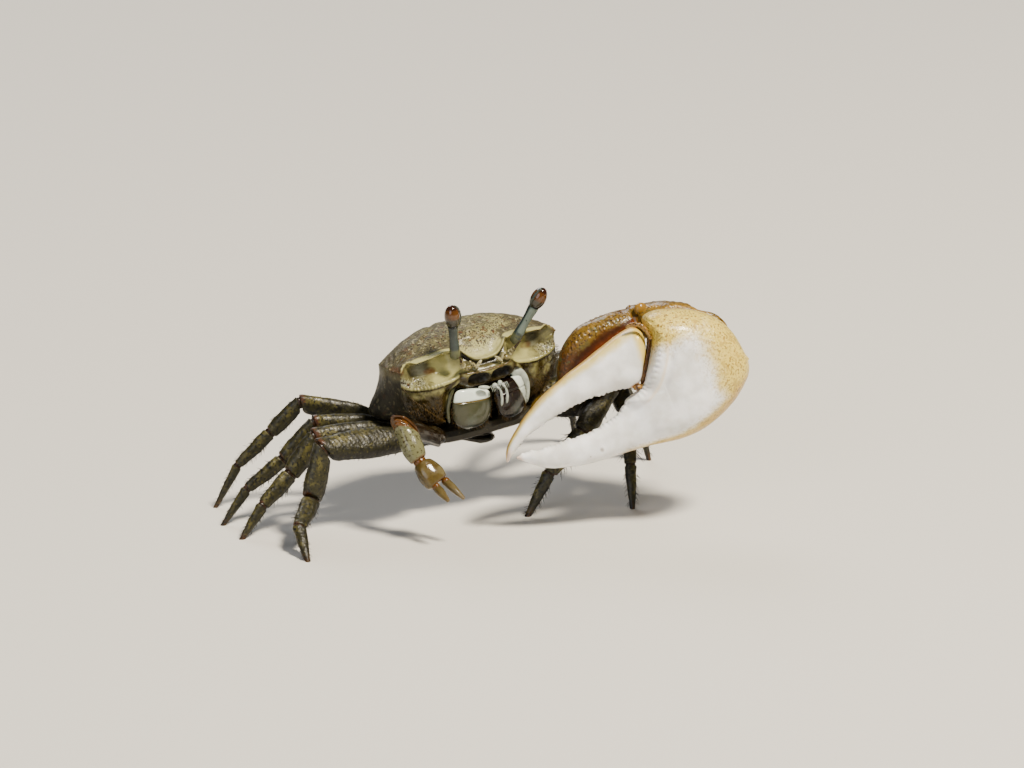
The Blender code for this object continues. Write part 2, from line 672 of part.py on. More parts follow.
def clean_union(mesh):
    """Drops what a union leaves beside the main closed surface, and divides faces of many sides."""
    bm = bmesh.new()
    bm.from_mesh(mesh)
    unseen = set(bm.verts)
    surfaces = []
    while unseen:
        surface = set()
        reached = [unseen.pop()]
        while reached:
            vertex = reached.pop()
            surface.add(vertex)
            beyond = {edge.other_vert(vertex) for edge in vertex.link_edges} & unseen
            unseen -= beyond
            reached.extend(beyond)
        surfaces.append(surface)
    largest = max(surfaces, key=len)
    bmesh.ops.delete(bm, geom=[v for v in bm.verts if v not in largest], context="VERTS")
    bmesh.ops.triangulate(bm, faces=[f for f in bm.faces if len(f.verts) > 4])
    bm.to_mesh(mesh)
    bm.free()


def fuse(piece, teeth):
    """Joins the teeth to the piece by one union, and removes them."""
    bpy.context.scene.collection.children.link(teeth)
    union = piece.modifiers.new("teeth", "BOOLEAN")
    union.operation = "UNION"
    union.operand_type = "COLLECTION"
    union.collection = teeth
    # The exact solver leaves open edges where the cones meet the thin tip of a finger
    union.solver = "MANIFOLD"
    depsgraph = bpy.context.evaluated_depsgraph_get()
    joined = bpy.data.meshes.new_from_object(piece.evaluated_get(depsgraph))
    clean_union(joined)
    piece.modifiers.clear()
    piece.data = joined
    for cone in list(teeth.objects):
        bpy.data.objects.remove(cone)
    bpy.data.collections.remove(teeth)
    joined.shade_smooth()
    joined.set_sharp_from_angle(angle=SHARP_ANGLE)


def build_claw():
    placing = frame_of(CLAW_HINGE, CLAW_ALONG, CLAW_INWARD)
    palm_rows = [(a, b, c, d, outside, inside) for a, b, c, d, inside, outside in PALM_ROWS]
    palm = add_part("claw_palm", sphere_mesh(18, 46, outline_surface(palm_rows)), CLAW, crab, placing)
    upper_edge = np.array(PALM_ROWS).T[:2]
    fuse(palm, row_of_teeth(upper_edge, PALM_TEETH, 1, palm))
    finger = add_part("claw_finger", sphere_mesh(14, 32, outline_surface(FINGER_ROWS)), CLAW, crab, placing)
    lower_edge = np.array(FINGER_ROWS).T[2:4]
    fuse(finger, row_of_teeth(lower_edge, FINGER_TEETH, -1, finger))


def rest_on_floor():
    """Moves the crab so that the middle of its box's bottom is the origin."""
    bpy.context.view_layer.update()
    corners = np.array([made.matrix_world @ v.co for made in parts.objects for v in made.data.vertices])
    low, high = corners.min(axis=0), corners.max(axis=0)
    crab.location = (-(low[0] + high[0]) / 2, -(low[1] + high[1]) / 2, BODY_HEIGHT * MM)


for old in list(bpy.data.objects):
    bpy.data.objects.remove(old)
random.seed(7)

parts = bpy.data.collections.new("fiddler_crab")
bpy.context.scene.collection.children.link(parts)
crab = bpy.data.objects.new("crab", None)
body = bpy.data.objects.new("body", None)
body.parent = crab
for empty in (crab, body):
    bpy.context.scene.collection.objects.link(empty)
body_turn = Matrix.Rotation(-BODY_ROLL, 4, "Y") @ Matrix.Rotation(-BODY_PITCH, 4, "X")
body.rotation_euler = body_turn.to_euler()

SHELL = material("shell", (0.36, 0.33, 0.22), 0.35)
UNDERSIDE = material("underside", (0.30, 0.27, 0.18), 0.45)
LEG = material("leg", (0.16, 0.14, 0.09), 0.4)
CLAW = material("claw", (0.86, 0.80, 0.66), 0.35)
ARM = material("claw_arm", (0.42, 0.20, 0.07), 0.4)
PINCER = material("pincer", (0.70, 0.52, 0.28), 0.4)
PLATE = material("mouth_plate", (0.60, 0.60, 0.48), 0.35)
STALK = material("eyestalk", (0.30, 0.34, 0.30), 0.35)
EYE = material("eye", (0.35, 0.14, 0.05), 0.15)

build_shell()
build_sternum()
build_abdomen()
build_eyes()
build_antennae()
build_mouth_plates()
build_walking_legs()
build_claw_arm()
build_claw()
build_pincer()
rest_on_floor()
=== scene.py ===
"""Finished skin, colours, bristles, light and camera for a life-size model of a male fiddler crab.

Every surface is a grid of points worked out as whole arrays: the share from pole to pole runs along the piece and
the angle runs round it. Lengths in the tables are millimetres in the crab's frame, whose origin lies midway
between the outer corners of the orbits. Pieces of the trunk are drawn in the body's frame, which is rolled and
pitched about that origin. The forms repeat the solids' own tables, so each piece sits where its node is.
"""

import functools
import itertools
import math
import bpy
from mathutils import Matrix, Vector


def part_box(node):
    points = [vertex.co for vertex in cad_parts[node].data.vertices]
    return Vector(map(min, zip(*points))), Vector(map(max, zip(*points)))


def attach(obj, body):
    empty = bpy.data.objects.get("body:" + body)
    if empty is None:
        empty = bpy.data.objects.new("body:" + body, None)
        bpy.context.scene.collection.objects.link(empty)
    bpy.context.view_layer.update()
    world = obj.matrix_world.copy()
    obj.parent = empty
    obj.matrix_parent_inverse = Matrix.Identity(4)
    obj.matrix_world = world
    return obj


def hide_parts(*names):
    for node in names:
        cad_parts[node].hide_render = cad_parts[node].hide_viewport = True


bl_info = {
    "name": "Fiddler Crab",
    "version": (1, 0, 0),
    "blender": (4, 5, 0),
    "location": "3D View > Sidebar > Crab",
    "description": "Builds the finished skin of a male fiddler crab over its solids",
    "category": "Add Mesh",
}

import bpy
import numpy as np
from mathutils import Matrix, Vector

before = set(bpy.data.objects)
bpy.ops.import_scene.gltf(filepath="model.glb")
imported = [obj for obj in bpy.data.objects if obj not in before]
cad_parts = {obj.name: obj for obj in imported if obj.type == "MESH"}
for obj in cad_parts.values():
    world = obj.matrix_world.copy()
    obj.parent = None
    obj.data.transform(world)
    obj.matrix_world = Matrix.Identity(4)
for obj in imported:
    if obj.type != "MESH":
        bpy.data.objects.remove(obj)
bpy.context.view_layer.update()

MM = 0.001
GAP = 0.3
BODY_HEIGHT = 19.0
BODY_TURN = Matrix.Rotation(math.radians(-7.0), 3, "Y") @ Matrix.Rotation(math.radians(-6.0), 3, "X")

# Shell: front edge from the midline outwards (x, y, z)
FRONT_EDGE = (
    (0.0, -2.3, -0.4),
    (1.6, -2.2, -0.1),
    (2.5, -2.0, 0.7),
    (3.2, -1.5, 1.4),
    (4.2, -1.2, 1.65),
    (6.2, -1.0, 1.4),
    (7.9, -0.6, 1.15),
    (9.2, -0.3, 0.85),
    (10.0, 0.0, 0.0),
)
# Shell from front to rear: share of its length, half width, edge height, crown height, underside
SHELL_ROWS = (
    (0.0, 10.0, 0.0, -0.4, -7.4),
    (0.15, 10.3, 0.15, 1.7, -7.4),
    (0.35, 10.4, 0.3, 2.9, -7.4),
    (0.6, 9.7, 0.0, 3.1, -7.3),
    (0.8, 8.3, -1.0, 2.3, -7.2),
    (0.92, 6.8, -2.0, 0.9, -7.0),
    (1.0, 5.6, -2.8, -0.6, -6.6),
)
ARCH_FULLNESS = 2.6
WALL_FULLNESS = 0.45
# Shares of the rings that end the face and start the rear
FACE_SHARE = 0.42
BARREL_SHARE = 0.9
REAR_MARGIN_Y = 10.0
REAR_CENTRE_Z = -3.4
REAR_BULGE = 1.3
# Middle of the face: y, z
FACE_CENTRE = (-2.3, -5.2)
SOLID_ORBIT_DEPTH = 1.2
SKIN_ORBIT_DEPTH = 1.45
SHELL_GRID = (230, 320)
BEAD_SPACING = 0.36
# Shallow openings above the mouth plates, painted dark as the shade inside them: off the midline, height, half width,
# half height
MOUTH_OPENING = (1.4, -2.38, 1.32, 0.52)
# Going up the face, the height z and how far off the midline each line runs
MOUTH_BAR = ((-7.4, -5.5, -4.0, -2.6, -1.8), (4.2, 5.3, 5.0, 4.2, 3.3))
CHEEK_EDGE = ((-7.4, -5.5, -4.0, -2.6, -1.8), (4.8, 5.8, 5.6, 4.8, 3.9))
# Ridge under each eye: off the midline, height
EYE_RIDGE = ((3.0, 3.6, 5.5, 7.3, 9.2, 10.4), (-1.6, -1.8, -2.2, -2.35, -2.1, -1.4))
# Groove on each side of the back: y, off the midline
BACK_GROOVE = ((0.5, 2.0, 4.0, 6.0, 9.0), (9.0, 6.0, 3.4, 2.5, 3.2))
CHEEK_HAIRS = 1500
COMB_SPINES = 30

STERNUM_HALF_WIDTH = 6.5
STERNUM_TAPER = 0.1
HIP_Z = -8.7

EYE_BASE = {"right": (-3.75, -2.0, 0.3), "left": (3.85, -1.6, 0.2)}
EYE_REACH = {"right": (-0.87, -0.67, 6.6), "left": (2.9, -2.1, 6.65)}
STALK_ROWS = ((0.0, 0.72), (0.2, 0.61), (0.55, 0.52), (1.0, 0.72))
CORNEA_WIDTH = 1.8
CORNEA_HEIGHT = 2.85
CORNEA_SHARE_SHOWN = 0.87
EYE_GRID = (70, 44)
STRIP_STEPS = 26

ANTENNA_BASE = (2.95, -2.03, -0.75)
ANTENNA_REACH = (1.0, -1.6, 1.6)

PLATE_TOP = (2.35, -1.75, -3.6)
PLATE_EDGE_X = 4.4
PLATE_LEAN = 0.05
PLATE_SPLAY = {"right": 0.2, "left": 0.1}
PLATE_SWING = {"right": 0.0, "left": math.radians(12.0)}
PLATE_BACK = {"right": 0.3, "left": 0.6}
# The right plate laps towards the middle, over the left one's edge
PLATE_INNER_SHARE = {"right": 1.3, "left": 1.0}
PLATE_GRID = (120, 96)
PLATE_HAIRS = 130
BRANCH_STEPS = 30
# Down from the top edge: length, half width, bulge in front, thickness behind
PLATE_ROWS = (
    (0.0, 0.3, 0.0, 0.0),
    (0.2, 1.7, 0.5, 0.2),
    (1.2, 2.08, 0.75, 0.25),
    (2.5, 2.12, 0.85, 0.25),
    (3.6, 1.9, 0.75, 0.25),
    (4.3, 1.2, 0.45, 0.2),
    (4.7, 0.1, 0.0, 0.0),
)

LEG_JOINTS = {
    "leg_right_1": ((-6.6, 1.9), (-19.6, 0, -9.0), (-21.2, -0.4, -14.5), (-24.7, -4.2, -16.2), (-25.5, -7.8)),
    "leg_right_2": ((-6.7, 4.4), (-18.7, 4.1, -8.9), (-21.8, 3.9, -12.6), (-25.6, 3.4, -15.6), (-28.4, 3.0)),
    "leg_right_3": ((-6.5, 6.9), (-17.3, 7.0, -8.2), (-20.9, 7.7, -12.0), (-25.2, 8.3, -15.0), (-28.0, 8.8)),
    "leg_right_4": ((-6.1, 9.2), (-16.9, 11.4, -6.8), (-20, 12.7, -10.2), (-23.5, 14.2, -14), (-25.8, 15.4)),
    "leg_left_1": ((6.6, 1.9), (14.8, -2.6, -7.0), (10.9, -5.0, -9.7), (6.9, -4.6, -14.2), (4.2, -4.4)),
    "leg_left_2": ((6.7, 4.4), (18.3, 1.8, -5.0), (17.9, -2.6, -8.9), (17.0, -5.4, -14.4), (16.2, -7.4)),
    "leg_left_3": ((6.5, 6.9), (19.0, 9.4, -4.4), (23.3, 9.4, -8.2), (26.0, 9.0, -13.6), (27.3, 8.6)),
    "leg_left_4": ((6.1, 9.2), (15.6, 14.2, -5.0), (19.4, 16.6, -8.2), (22.0, 18.2, -13.4), (23.2, 19.2)),
}
LEG_SCALE = (1.18, 1.05, 0.95, 0.85)
LEG_SIDES = 48
LEG_STRIPE_SPACING = 0.62
# How a leg's segments are drawn: bevel of the ends, rings, bristles, their length as a share of the longest
LEG_DRAWN = {
    "merus": (0.25, 90, 60, 0.5),
    "carpus": (0.22, 44, 24, 0.7),
    "propodus": (0.18, 60, 56, 1.0),
    "dactyl": (0.06, 48, 44, 0.6),
}
# Limb segments: share of the length, half depth above the axis, half depth below it, half thickness
LEG_SEGMENTS = {
    "merus": ((0.0, 0.82, 0.8, 0.85), (0.2, 1.1, 1.0, 0.85), (0.5, 1.7, 1.35, 0.9), (0.75, 1.6, 1.25, 0.9),
              (1.0, 1.25, 1.0, 0.8)),
    "carpus": ((0.0, 1.1, 0.85, 0.7), (0.35, 1.15, 1.0, 0.75), (0.7, 1.2, 1.05, 0.8), (1.0, 1.0, 0.9, 0.7)),
    "propodus": ((0.0, 1.0, 0.85, 0.65), (0.4, 0.95, 0.85, 0.65), (0.8, 0.8, 0.7, 0.55), (1.0, 0.7, 0.65, 0.5)),
    "dactyl": ((0.0, 0.7, 0.65, 0.5), (0.3, 0.62, 0.58, 0.45), (0.7, 0.45, 0.42, 0.36), (1.0, 0.3, 0.28, 0.28)),
}

CLAW_ARM_JOINTS = ((6.6, -0.8), (10.2, -2.9, -5.6), (18.4, -4.6, 2.2), (23.0, -9.6, 2.0))
CLAW_ARM_UPS = ((-0.3, 0.0, 1.0), (-0.4, 0.0, 1.0), (0.0, 0.0, 1.0))
CLAW_ARM_SEGMENTS = {
    "ischium": ((0.0, 1.1, 1.1, 1.0), (0.5, 1.4, 1.3, 1.2), (1.0, 2.0, 1.5, 1.4)),
    "merus": ((0.0, 2.1, 1.4, 1.3), (0.25, 4.4, 1.8, 1.8), (0.55, 4.9, 2.1, 2.2), (0.8, 3.6, 2.3, 2.2),
              (1.0, 2.2, 2.2, 1.8)),
    "carpus": ((0.0, 2.1, 2.1, 1.9), (0.35, 2.7, 2.3, 2.4), (0.7, 2.8, 2.3, 2.5), (1.0, 2.2, 2.0, 2.2)),
}
# How the arm's segments are drawn: bevel of the ends, rings
ARM_DRAWN = {"ischium": (0.3, 50), "merus": (0.4, 150), "carpus": (1.0, 90)}
ARM_SIDES = 110

PINCER_JOINTS = ((-6.6, -0.6), (-11.6, -3.9, -6.2), (-10.6, -6.3, -9.9), (-9.2, -8.2, -12.1))
PINCER_ACROSS = (-0.9, 0.3, 0.2)
PINCER_SEGMENTS = {
    "merus": ((0.0, 0.8, 0.8, 0.8), (0.3, 1.1, 1.0, 0.95), (0.6, 1.35, 1.2, 1.1), (1.0, 1.2, 1.0, 1.0)),
    "carpus": ((0.0, 0.95, 0.95, 0.9), (0.35, 1.2, 1.2, 1.1), (0.7, 1.3, 1.2, 1.15), (1.0, 0.95, 0.9, 0.9)),
    "hand": ((0.0, 0.9, 0.9, 0.8), (0.35, 1.4, 1.35, 1.05), (0.7, 1.55, 1.5, 1.1), (1.0, 1.4, 1.3, 0.9)),
}
PINCER_FINGERS = {
    "fixed_finger": ((-9.75, -8.7, -12.4), (-9.5, -11.2, -13.4)),
    "movable_finger": ((-8.4, -8.5, -12.0), (-7.4, -11.0, -13.5)),
}
PINCER_BEVELS = {"merus": 0.25, "carpus": 0.3, "hand": 0.3, "fixed_finger": 0.14, "movable_finger": 0.14}
PINCER_GRID = (70, 64)
PINCER_FINGER_ROWS = ((0.0, 0.5, 0.5, 0.45), (0.3, 0.5, 0.5, 0.45), (0.7, 0.36, 0.36, 0.32), (1.0, 0.2, 0.2, 0.2))

CLAW_HINGE = (15.45, -11.6, 1.05)
CLAW_ALONG = (-0.926, 0.209, -0.310)
CLAW_INWARD = (0.271, 0.947, -0.174)
CLAW_ROUNDNESS = 2.3
# Palm and fixed finger in chords: upper p, upper q, lower p, lower q, depth inside, depth outside
PALM_ROWS = (
    (-10.6, -5.0, -10.6, -5.4, 0.0, 0.0),
    (-10.1, -1.9, -10.4, -6.4, 1.7, 1.9),
    (-8.8, 0.6, -9.9, -7.3, 2.6, 3.0),
    (-6.7, 2.3, -9.2, -8.0, 3.1, 3.7),
    (-4.4, 3.3, -8.2, -8.7, 3.3, 4.1),
    (-2.5, 3.8, -7.2, -9.3, 3.3, 4.2),
    (-1.2, 3.7, -6.0, -9.9, 3.2, 4.1),
    (-0.85, 3.0, -5.0, -10.3, 3.1, 3.9),
    (-0.85, 1.1, -4.0, -10.6, 2.9, 3.6),
    (0.1, -0.8, -2.8, -10.9, 2.7, 3.2),
    (1.0, -2.4, -1.4, -11.0, 2.4, 2.8),
    (1.9, -3.9, 0.2, -10.9, 2.1, 2.5),
    (3.9, -4.5, 2.0, -10.6, 1.9, 2.2),
    (4.7, -5.2, 3.8, -10.3, 1.7, 2.0),
    (6.4, -6.0, 6.0, -10.1, 1.5, 1.8),
    (8.8, -6.5, 8.8, -9.9, 1.4, 1.6),
    (12.0, -6.4, 12.0, -9.4, 1.2, 1.4),
    (15.2, -6.2, 15.2, -8.4, 0.9, 1.1),
    (17.2, -5.8, 17.3, -6.9, 0.5, 0.6),
    (18.2, -5.9, 18.2, -6.1, 0.0, 0.0),
)
FINGER_ROWS = (
    (-0.35, 1.25, -0.28, 0.95, 0.0, 0.0),
    (-0.05, 2.35, 0.25, -0.1, 1.6, 1.6),
    (0.7, 3.0, 1.0, -1.5, 2.3, 2.3),
    (2.4, 2.8, 1.88, -3.03, 2.4, 2.4),
    (4.4, 2.2, 2.8, -3.4, 2.3, 2.3),
    (6.8, 1.5, 5.2, -2.9, 2.1, 2.1),
    (9.2, 0.8, 7.6, -2.7, 1.9, 1.9),
    (11.6, 0.0, 10.0, -2.8, 1.7, 1.7),
    (13.7, -0.9, 12.2, -3.1, 1.5, 1.5),
    (15.8, -2.1, 14.4, -3.6, 1.25, 1.25),
    (17.7, -3.5, 16.4, -4.2, 1.0, 1.0),
    (19.0, -4.8, 18.2, -5.3, 0.6, 0.6),
    (19.4, -6.1, 19.2, -6.1, 0.0, 0.0),
)
TOOTH_SPACING = 0.5
# The teeth fade round the edge as this power of the section's cosine
TOOTH_SHARPNESS = 14
# Rows between which the teeth stand, and the larger ones as p and relative height
PALM_TEETH = (12.4, 18.3, ((7.2, 1.5), (11.8, 1.9), (16.3, 1.7)))
FINGER_TEETH = (4.0, 11.3, ((6.6, 1.8), (12.6, 1.3)))
# Beaded ridge on the palm's outer face: p, q
PALM_RIDGE = ((-1.3, 1.3), (-1.15, 0.3), (-0.3, -1.5), (1.1, -3.4), (3.1, -4.75), (5.9, -5.4))
RIDGE_BEAD_SPACING = 0.62

PALM_GRID = (420, 180)
FINGER_GRID = (340, 140)
# Along the palm: p, depth of the outer face, how far in from the edge it reaches that depth
PALM_PILLOW = (
    (-10.5, 3.4, 3.0),
    (-6.0, 4.1, 4.6),
    (-2.0, 4.15, 4.6),
    (1.0, 3.4, 3.6),
    (4.0, 2.3, 2.6),
    (8.0, 1.65, 1.75),
    (12.0, 1.4, 1.5),
    (15.0, 1.1, 1.1),
    (17.0, 0.65, 0.65),
    (18.2, 0.25, 0.3),
)
PILLOW_FULLNESS = 2.3
PILLOW_INNER_SHARE = 0.8
# Rows between which the palm's edge borders the finger, and how much faster it rises there
PALM_SOCKET = (6.6, 12.4)
SOCKET_STEEPNESS = 2.6
# Dark spots of the palm's outer face: p, q, radius
PALM_SPOTS = ((8.92, -8.51, 0.35), (10.38, -8.79, 0.16), (2.3, -6.6, 0.12))
# Membrane of the finger's hinge: path as p, q and depth, thickness, masks
HINGE_FOLDS = (
    (
        ((1.6, 3.5, -1.4), (0.8, 3.55, -1.9), (0.1, 3.3, -2.2), (-0.4, 2.4, -2.4), (-0.62, 1.0, -2.3)),
        0.26,
        {"pale": 0.5},
    ),
    (
        ((-0.6, 1.4, -0.9), (-0.4, 0.6, -1.0), (0.3, -0.6, -1.0), (1.25, -2.2, -0.9), (1.95, -3.5, -0.7)),
        0.3,
        {"dark": 0.45},
    ),
)
HINGE_STEPS = 40

# Camera: azimuth and elevation in degrees, picture scale, and where the crab's origin falls in the picture
VIEW_AZIMUTH = -28.0
VIEW_ELEVATION = 16.0
PIXELS_PER_MM = 8.8
PICTURE = (1024, 768)
ORIGIN_PIXEL = (477.0, 351.5)
# In metres; the sensor's width is Blender's usual one, in millimetres
CAMERA_DISTANCE = 0.75
SENSOR_WIDTH = 36.0
FLOOR_REACH = 3.0
LIGHT_AIM = (0, 0, 0.012)
# Lights: name, place, diameter, watts, colour
LIGHTS = (
    ("key", (0.16, -0.36, 0.7), 0.16, 15.0, "#FFF4E0"),
    ("fill", (-0.6, -0.45, 0.3), 0.5, 2.0, "#EAF1FF"),
    ("back", (0.1, 0.65, 0.5), 0.45, 2.8, "#FFFFFF"),
)


# Curves


def smooth(x, stations, values):
    """Cubic curve through the values at the stations, with slopes taken from the neighbours."""
    stations = np.asarray(stations, float)
    values = np.asarray(values, float)
    slopes = np.gradient(values, stations)
    x = np.clip(x, stations[0], stations[-1])
    i = np.clip(np.searchsorted(stations, x, side="right") - 1, 0, len(stations) - 2)
    step = stations[i + 1] - stations[i]
    s = (x - stations[i]) / step
    start = (1 + 2 * s) * (1 - s) ** 2 * values[i] + s * (1 - s) ** 2 * step * slopes[i]
    end = s**2 * (3 - 2 * s) * values[i + 1] + s**2 * (s - 1) * step * slopes[i + 1]
    return start + end


def columns_at(x, rows):
    """The rows' columns after the first, read at x along the first column."""
    stations, *columns = np.array(rows).T
    return [smooth(x, stations, values) for values in columns]


def power(value, exponent):
    """Raises the size of a value and keeps its sign."""
    return np.sign(value) * np.abs(value) ** exponent


def ramp(value, low, high):
    """0 below low, 1 above high, and a smooth step between."""
    share = np.clip((value - low) / (high - low), 0, 1)
    return share**2 * (3 - 2 * share)


def bump(distance, width):
    """1 at no distance, falling smoothly to 0 at the width."""
    return np.clip(1 - (distance / width) ** 2, 0, 1) ** 2


def eased(share):
    """Places from 0 to 1 that crowd together at both ends."""
    return (1 - np.cos(share * math.pi)) / 2


def most(*values):
    """The largest of several values at each place."""
    return functools.reduce(np.maximum, values)


def wave(distance, spacing):
    """A wave from -1 to 1 that repeats at each spacing."""
    return np.cos(2 * math.pi * distance / spacing)


def angles(count):
    """Evenly spaced angles round a section, from half a turn back."""
    return np.linspace(-math.pi, math.pi, count, endpoint=False)


def blunt(count, fullness):
    """A tube's thickness along it, as shares: near 1, and closing roundly at both ends."""
    return np.sqrt(np.clip(1 - np.linspace(-1, 1, count) ** fullness, 0, 1))


def walked_along(path):
    """Distance walked along a path to each of its points."""
    return np.concatenate([[0], np.cumsum(np.linalg.norm(np.diff(path, axis=0), axis=1))])


def noise(points, cell, seed):
    """Smooth random values from -1 to 1: a lattice of random numbers, blended between its corners."""
    place = np.asarray(points) / cell
    corner = np.floor(place).astype(int)
    share = place - corner
    share = share**2 * (3 - 2 * share)
    table = np.random.default_rng(seed).uniform(-1, 1, (32, 32, 32))
    total = 0.0
    for step in itertools.product((0, 1), repeat=3):
        at = (corner + step) % 32
        weight = np.prod(np.where(step, share, 1 - share), axis=-1)
        total = total + weight * table[at[..., 0], at[..., 1], at[..., 2]]
    return total


# Places


def frame_of(origin, x_axis, z_axis):
    """Placing whose z axis is z_axis and whose x axis is the part of x_axis square to it."""
    z_axis = Vector(z_axis).normalized()
    x_axis = Vector(x_axis)
    x_axis = (x_axis - x_axis.dot(z_axis) * z_axis).normalized()
    turned = Matrix((x_axis, z_axis.cross(x_axis), z_axis)).transposed().to_4x4()
    return Matrix.Translation(Vector(origin)) @ turned


def placed(matrix, points):
    """Points carried by a placing."""
    matrix = np.array(matrix)
    return points @ matrix[:3, :3].T + matrix[:3, 3]


def body(points):
    """Points of the body's frame, in the crab's frame."""
    return points @ np.array(BODY_TURN).T


BODY = BODY_TURN.to_4x4()
CLAW = frame_of(CLAW_HINGE, CLAW_ALONG, CLAW_INWARD)


# Forms


def front_edge(off):
    """Where the shell's front edge lies, y and z, at a distance off from the midline."""
    return columns_at(off, FRONT_EDGE)


def shell_form(share, angle, orbit_depth=SOLID_ORBIT_DEPTH):
    """The shell: rings from the middle of the face, round the body, to the middle of the rear. Angle 90 is up.

    The upper half is a flat arch behind the front edge. The lower half swells and turns in to the leg bases. The
    face is drawn from rings that shrink to its centre, hollowed at the orbits and behind the mouth plates.
    """
    across, up = np.cos(angle), np.sin(angle)
    on_face = np.clip(share / FACE_SHARE, 0, 1)
    along = np.clip((share - FACE_SHARE) / (BARREL_SHARE - FACE_SHARE), 0, 1)
    closing = np.clip((share - BARREL_SHARE) / (1 - BARREL_SHARE), 0, 1)
    half, edge_z, crown_z, under_z = columns_at(along, SHELL_ROWS)
    margin_y, margin_z = front_edge(np.abs(across) * FRONT_EDGE[-1][0])
    arch = edge_z + (crown_z - edge_z) * (1 - np.abs(across) ** ARCH_FULLNESS)
    behind = ramp(along, 0.0, 0.22)
    upper_z = margin_z * (1 - behind) + arch * behind
    upper_y = margin_y + along * (REAR_MARGIN_Y - margin_y)
    drop = np.abs(up) ** 0.75
    swell = 0.04 + 0.32 * ramp(along, 0.0, 0.6)
    lower_x = power(across, WALL_FULLNESS) * (1 + swell * np.sin(2 * np.abs(angle)) ** 2)
    lower_z = edge_z + (under_z - edge_z) * drop
    lower_y = 1.2 * drop * (1 - along) + along * REAR_MARGIN_Y
    x = half * np.where(up > 0, across, lower_x)
    y = np.where(up > 0, upper_y, lower_y)
    z = np.where(up > 0, upper_z, lower_z)
    centre_y, centre_z = FACE_CENTRE
    x = x * on_face
    z = centre_z + (z - centre_z) * on_face
    y = centre_y + (y - centre_y) * on_face**2.2
    off = np.abs(x)
    ceiling = front_edge(off)[1]
    orbit = ramp(off, 2.4, 4.2) * (1 - ramp(off, 8.0, 9.8)) * ramp(z, -2.4, -0.9)
    orbit = orbit * (1 - ramp(z, ceiling - 0.7, ceiling + 0.1)) * orbit_depth
    mouth = 1.4 * (1 - ramp(off, 4.2, 6.4)) * (1 - ramp(z, -3.8, -2.0))
    y = y + np.where(share < FACE_SHARE, orbit + mouth, 0)
    shrink = np.sqrt(1 - closing**2)
    return np.stack([x * shrink, y + REAR_BULGE * closing, REAR_CENTRE_Z + (z - REAR_CENTRE_Z) * shrink], -1)


def outline_form(rows, at, angle):
    """A flat piece drawn by chords from edge to edge, with an oval section: x along, y across, z through."""
    index = np.arange(len(rows))
    upper_x, upper_y, lower_x, lower_y, below, above = (smooth(at, index, v) for v in np.array(rows).T)
    across = power(np.cos(angle), 2 / CLAW_ROUNDNESS)
    x = (upper_x + lower_x) / 2 + (upper_x - lower_x) / 2 * across
    y = (upper_y + lower_y) / 2 + (upper_y - lower_y) / 2 * across
    depth = np.where(np.sin(angle) > 0, above, below)
    return np.stack([x, y, depth * power(np.sin(angle), 2 / CLAW_ROUNDNESS)], -1)


def grid(rings, sides):
    """Shares from pole to pole, as a column, and angles, as a row."""
    share = np.linspace(0, 1, rings + 1)[:, None]
    return np.broadcast_arrays(share, angles(sides)[None, :])


def relief(points, height):
    """Moves each point of a closed grid along the surface's normal by its height."""
    round_step = np.roll(points, -1, 1) - np.roll(points, 1, 1)
    along_step = np.gradient(points, axis=0)
    normal = np.cross(round_step, along_step)
    length = np.linalg.norm(normal, axis=-1, keepdims=True)
    normal = normal / np.maximum(length, 1e-9)
    centre = points.mean(axis=(0, 1))
    if np.sum(normal * (points - centre)) < 0:
        normal = -normal
    return points + normal * height[..., None]


def evened(points, share, passes):
    """A closed grid evened out where share is 1: each pass moves a point half way to its neighbours' mean."""
    for _ in range(passes):
        around = (np.roll(points, 1, 1) + np.roll(points, -1, 1)) / 2
        along = np.concatenate([points[:1], (points[:-2] + points[2:]) / 2, points[-1:]])
        points = points + 0.5 * share * ((around + along) / 2 - points)
    return points


def shell_origin():
    """Where the crab's origin lies: the shell's box in the solids against the same form's box here."""
    share, angle = grid(32, 52)
    form = body(shell_form(share, angle)).reshape(-1, 3)
    low, high = (np.array(corner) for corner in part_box("carapace"))
    centre = (low + high) / 2 / MM - (form.min(axis=0) + form.max(axis=0)) / 2
    return np.array([centre[0], centre[1], BODY_HEIGHT])


ORIGIN = shell_origin()


# Meshes


def grid_faces(rings, sides):
    """Quads between the rings and triangles round the poles; the poles are the first and last vertices."""
    side = np.arange(sides)
    after = (side + 1) % sides
    start = 1 + np.arange(rings - 2)[:, None] * sides
    quads = np.stack([start + side, start + after, start + sides + after, start + sides + side], -1)
    last = 1 + (rings - 1) * sides
    top = last - sides
    first_fan = np.stack([np.zeros(sides, int), 1 + after, 1 + side], -1)
    last_fan = np.stack([np.full(sides, last), top + side, top + after], -1)
    return quads.reshape(-1, 4), np.concatenate([first_fan, last_fan])


def signed_volume(points, triangles):
    """Six times the volume inside the triangles, positive where they face outwards."""
    a, b, c = (points[triangles[:, i]] for i in range(3))
    return np.einsum("ij,ij->i", a, np.cross(b, c)).sum()


def closed_grid(points, **masks):
    """Vertices, quads, triangles and masks of one closed grid, turned to face outwards."""
    rings, sides = points.shape[0] - 1, points.shape[1]

    def flat(values):
        poles = values[:1].mean(axis=1), values[-1:].mean(axis=1)
        return np.concatenate([poles[0], values[1:-1].reshape(-1, *values.shape[2:]), poles[1]])

    quads, fans = grid_faces(rings, sides)
    vertices = flat(points)
    middle = vertices.mean(axis=0)
    halves = np.concatenate([quads[:, [0, 1, 2]], quads[:, [0, 2, 3]], fans])
    if signed_volume(vertices - middle, halves) < 0:
        quads, fans = quads[:, ::-1], fans[:, ::-1]
    shape = points.shape[:2]
    masks = {name: flat(np.broadcast_to(value, shape).astype(float)) for name, value in masks.items()}
    return vertices, quads, fans, masks


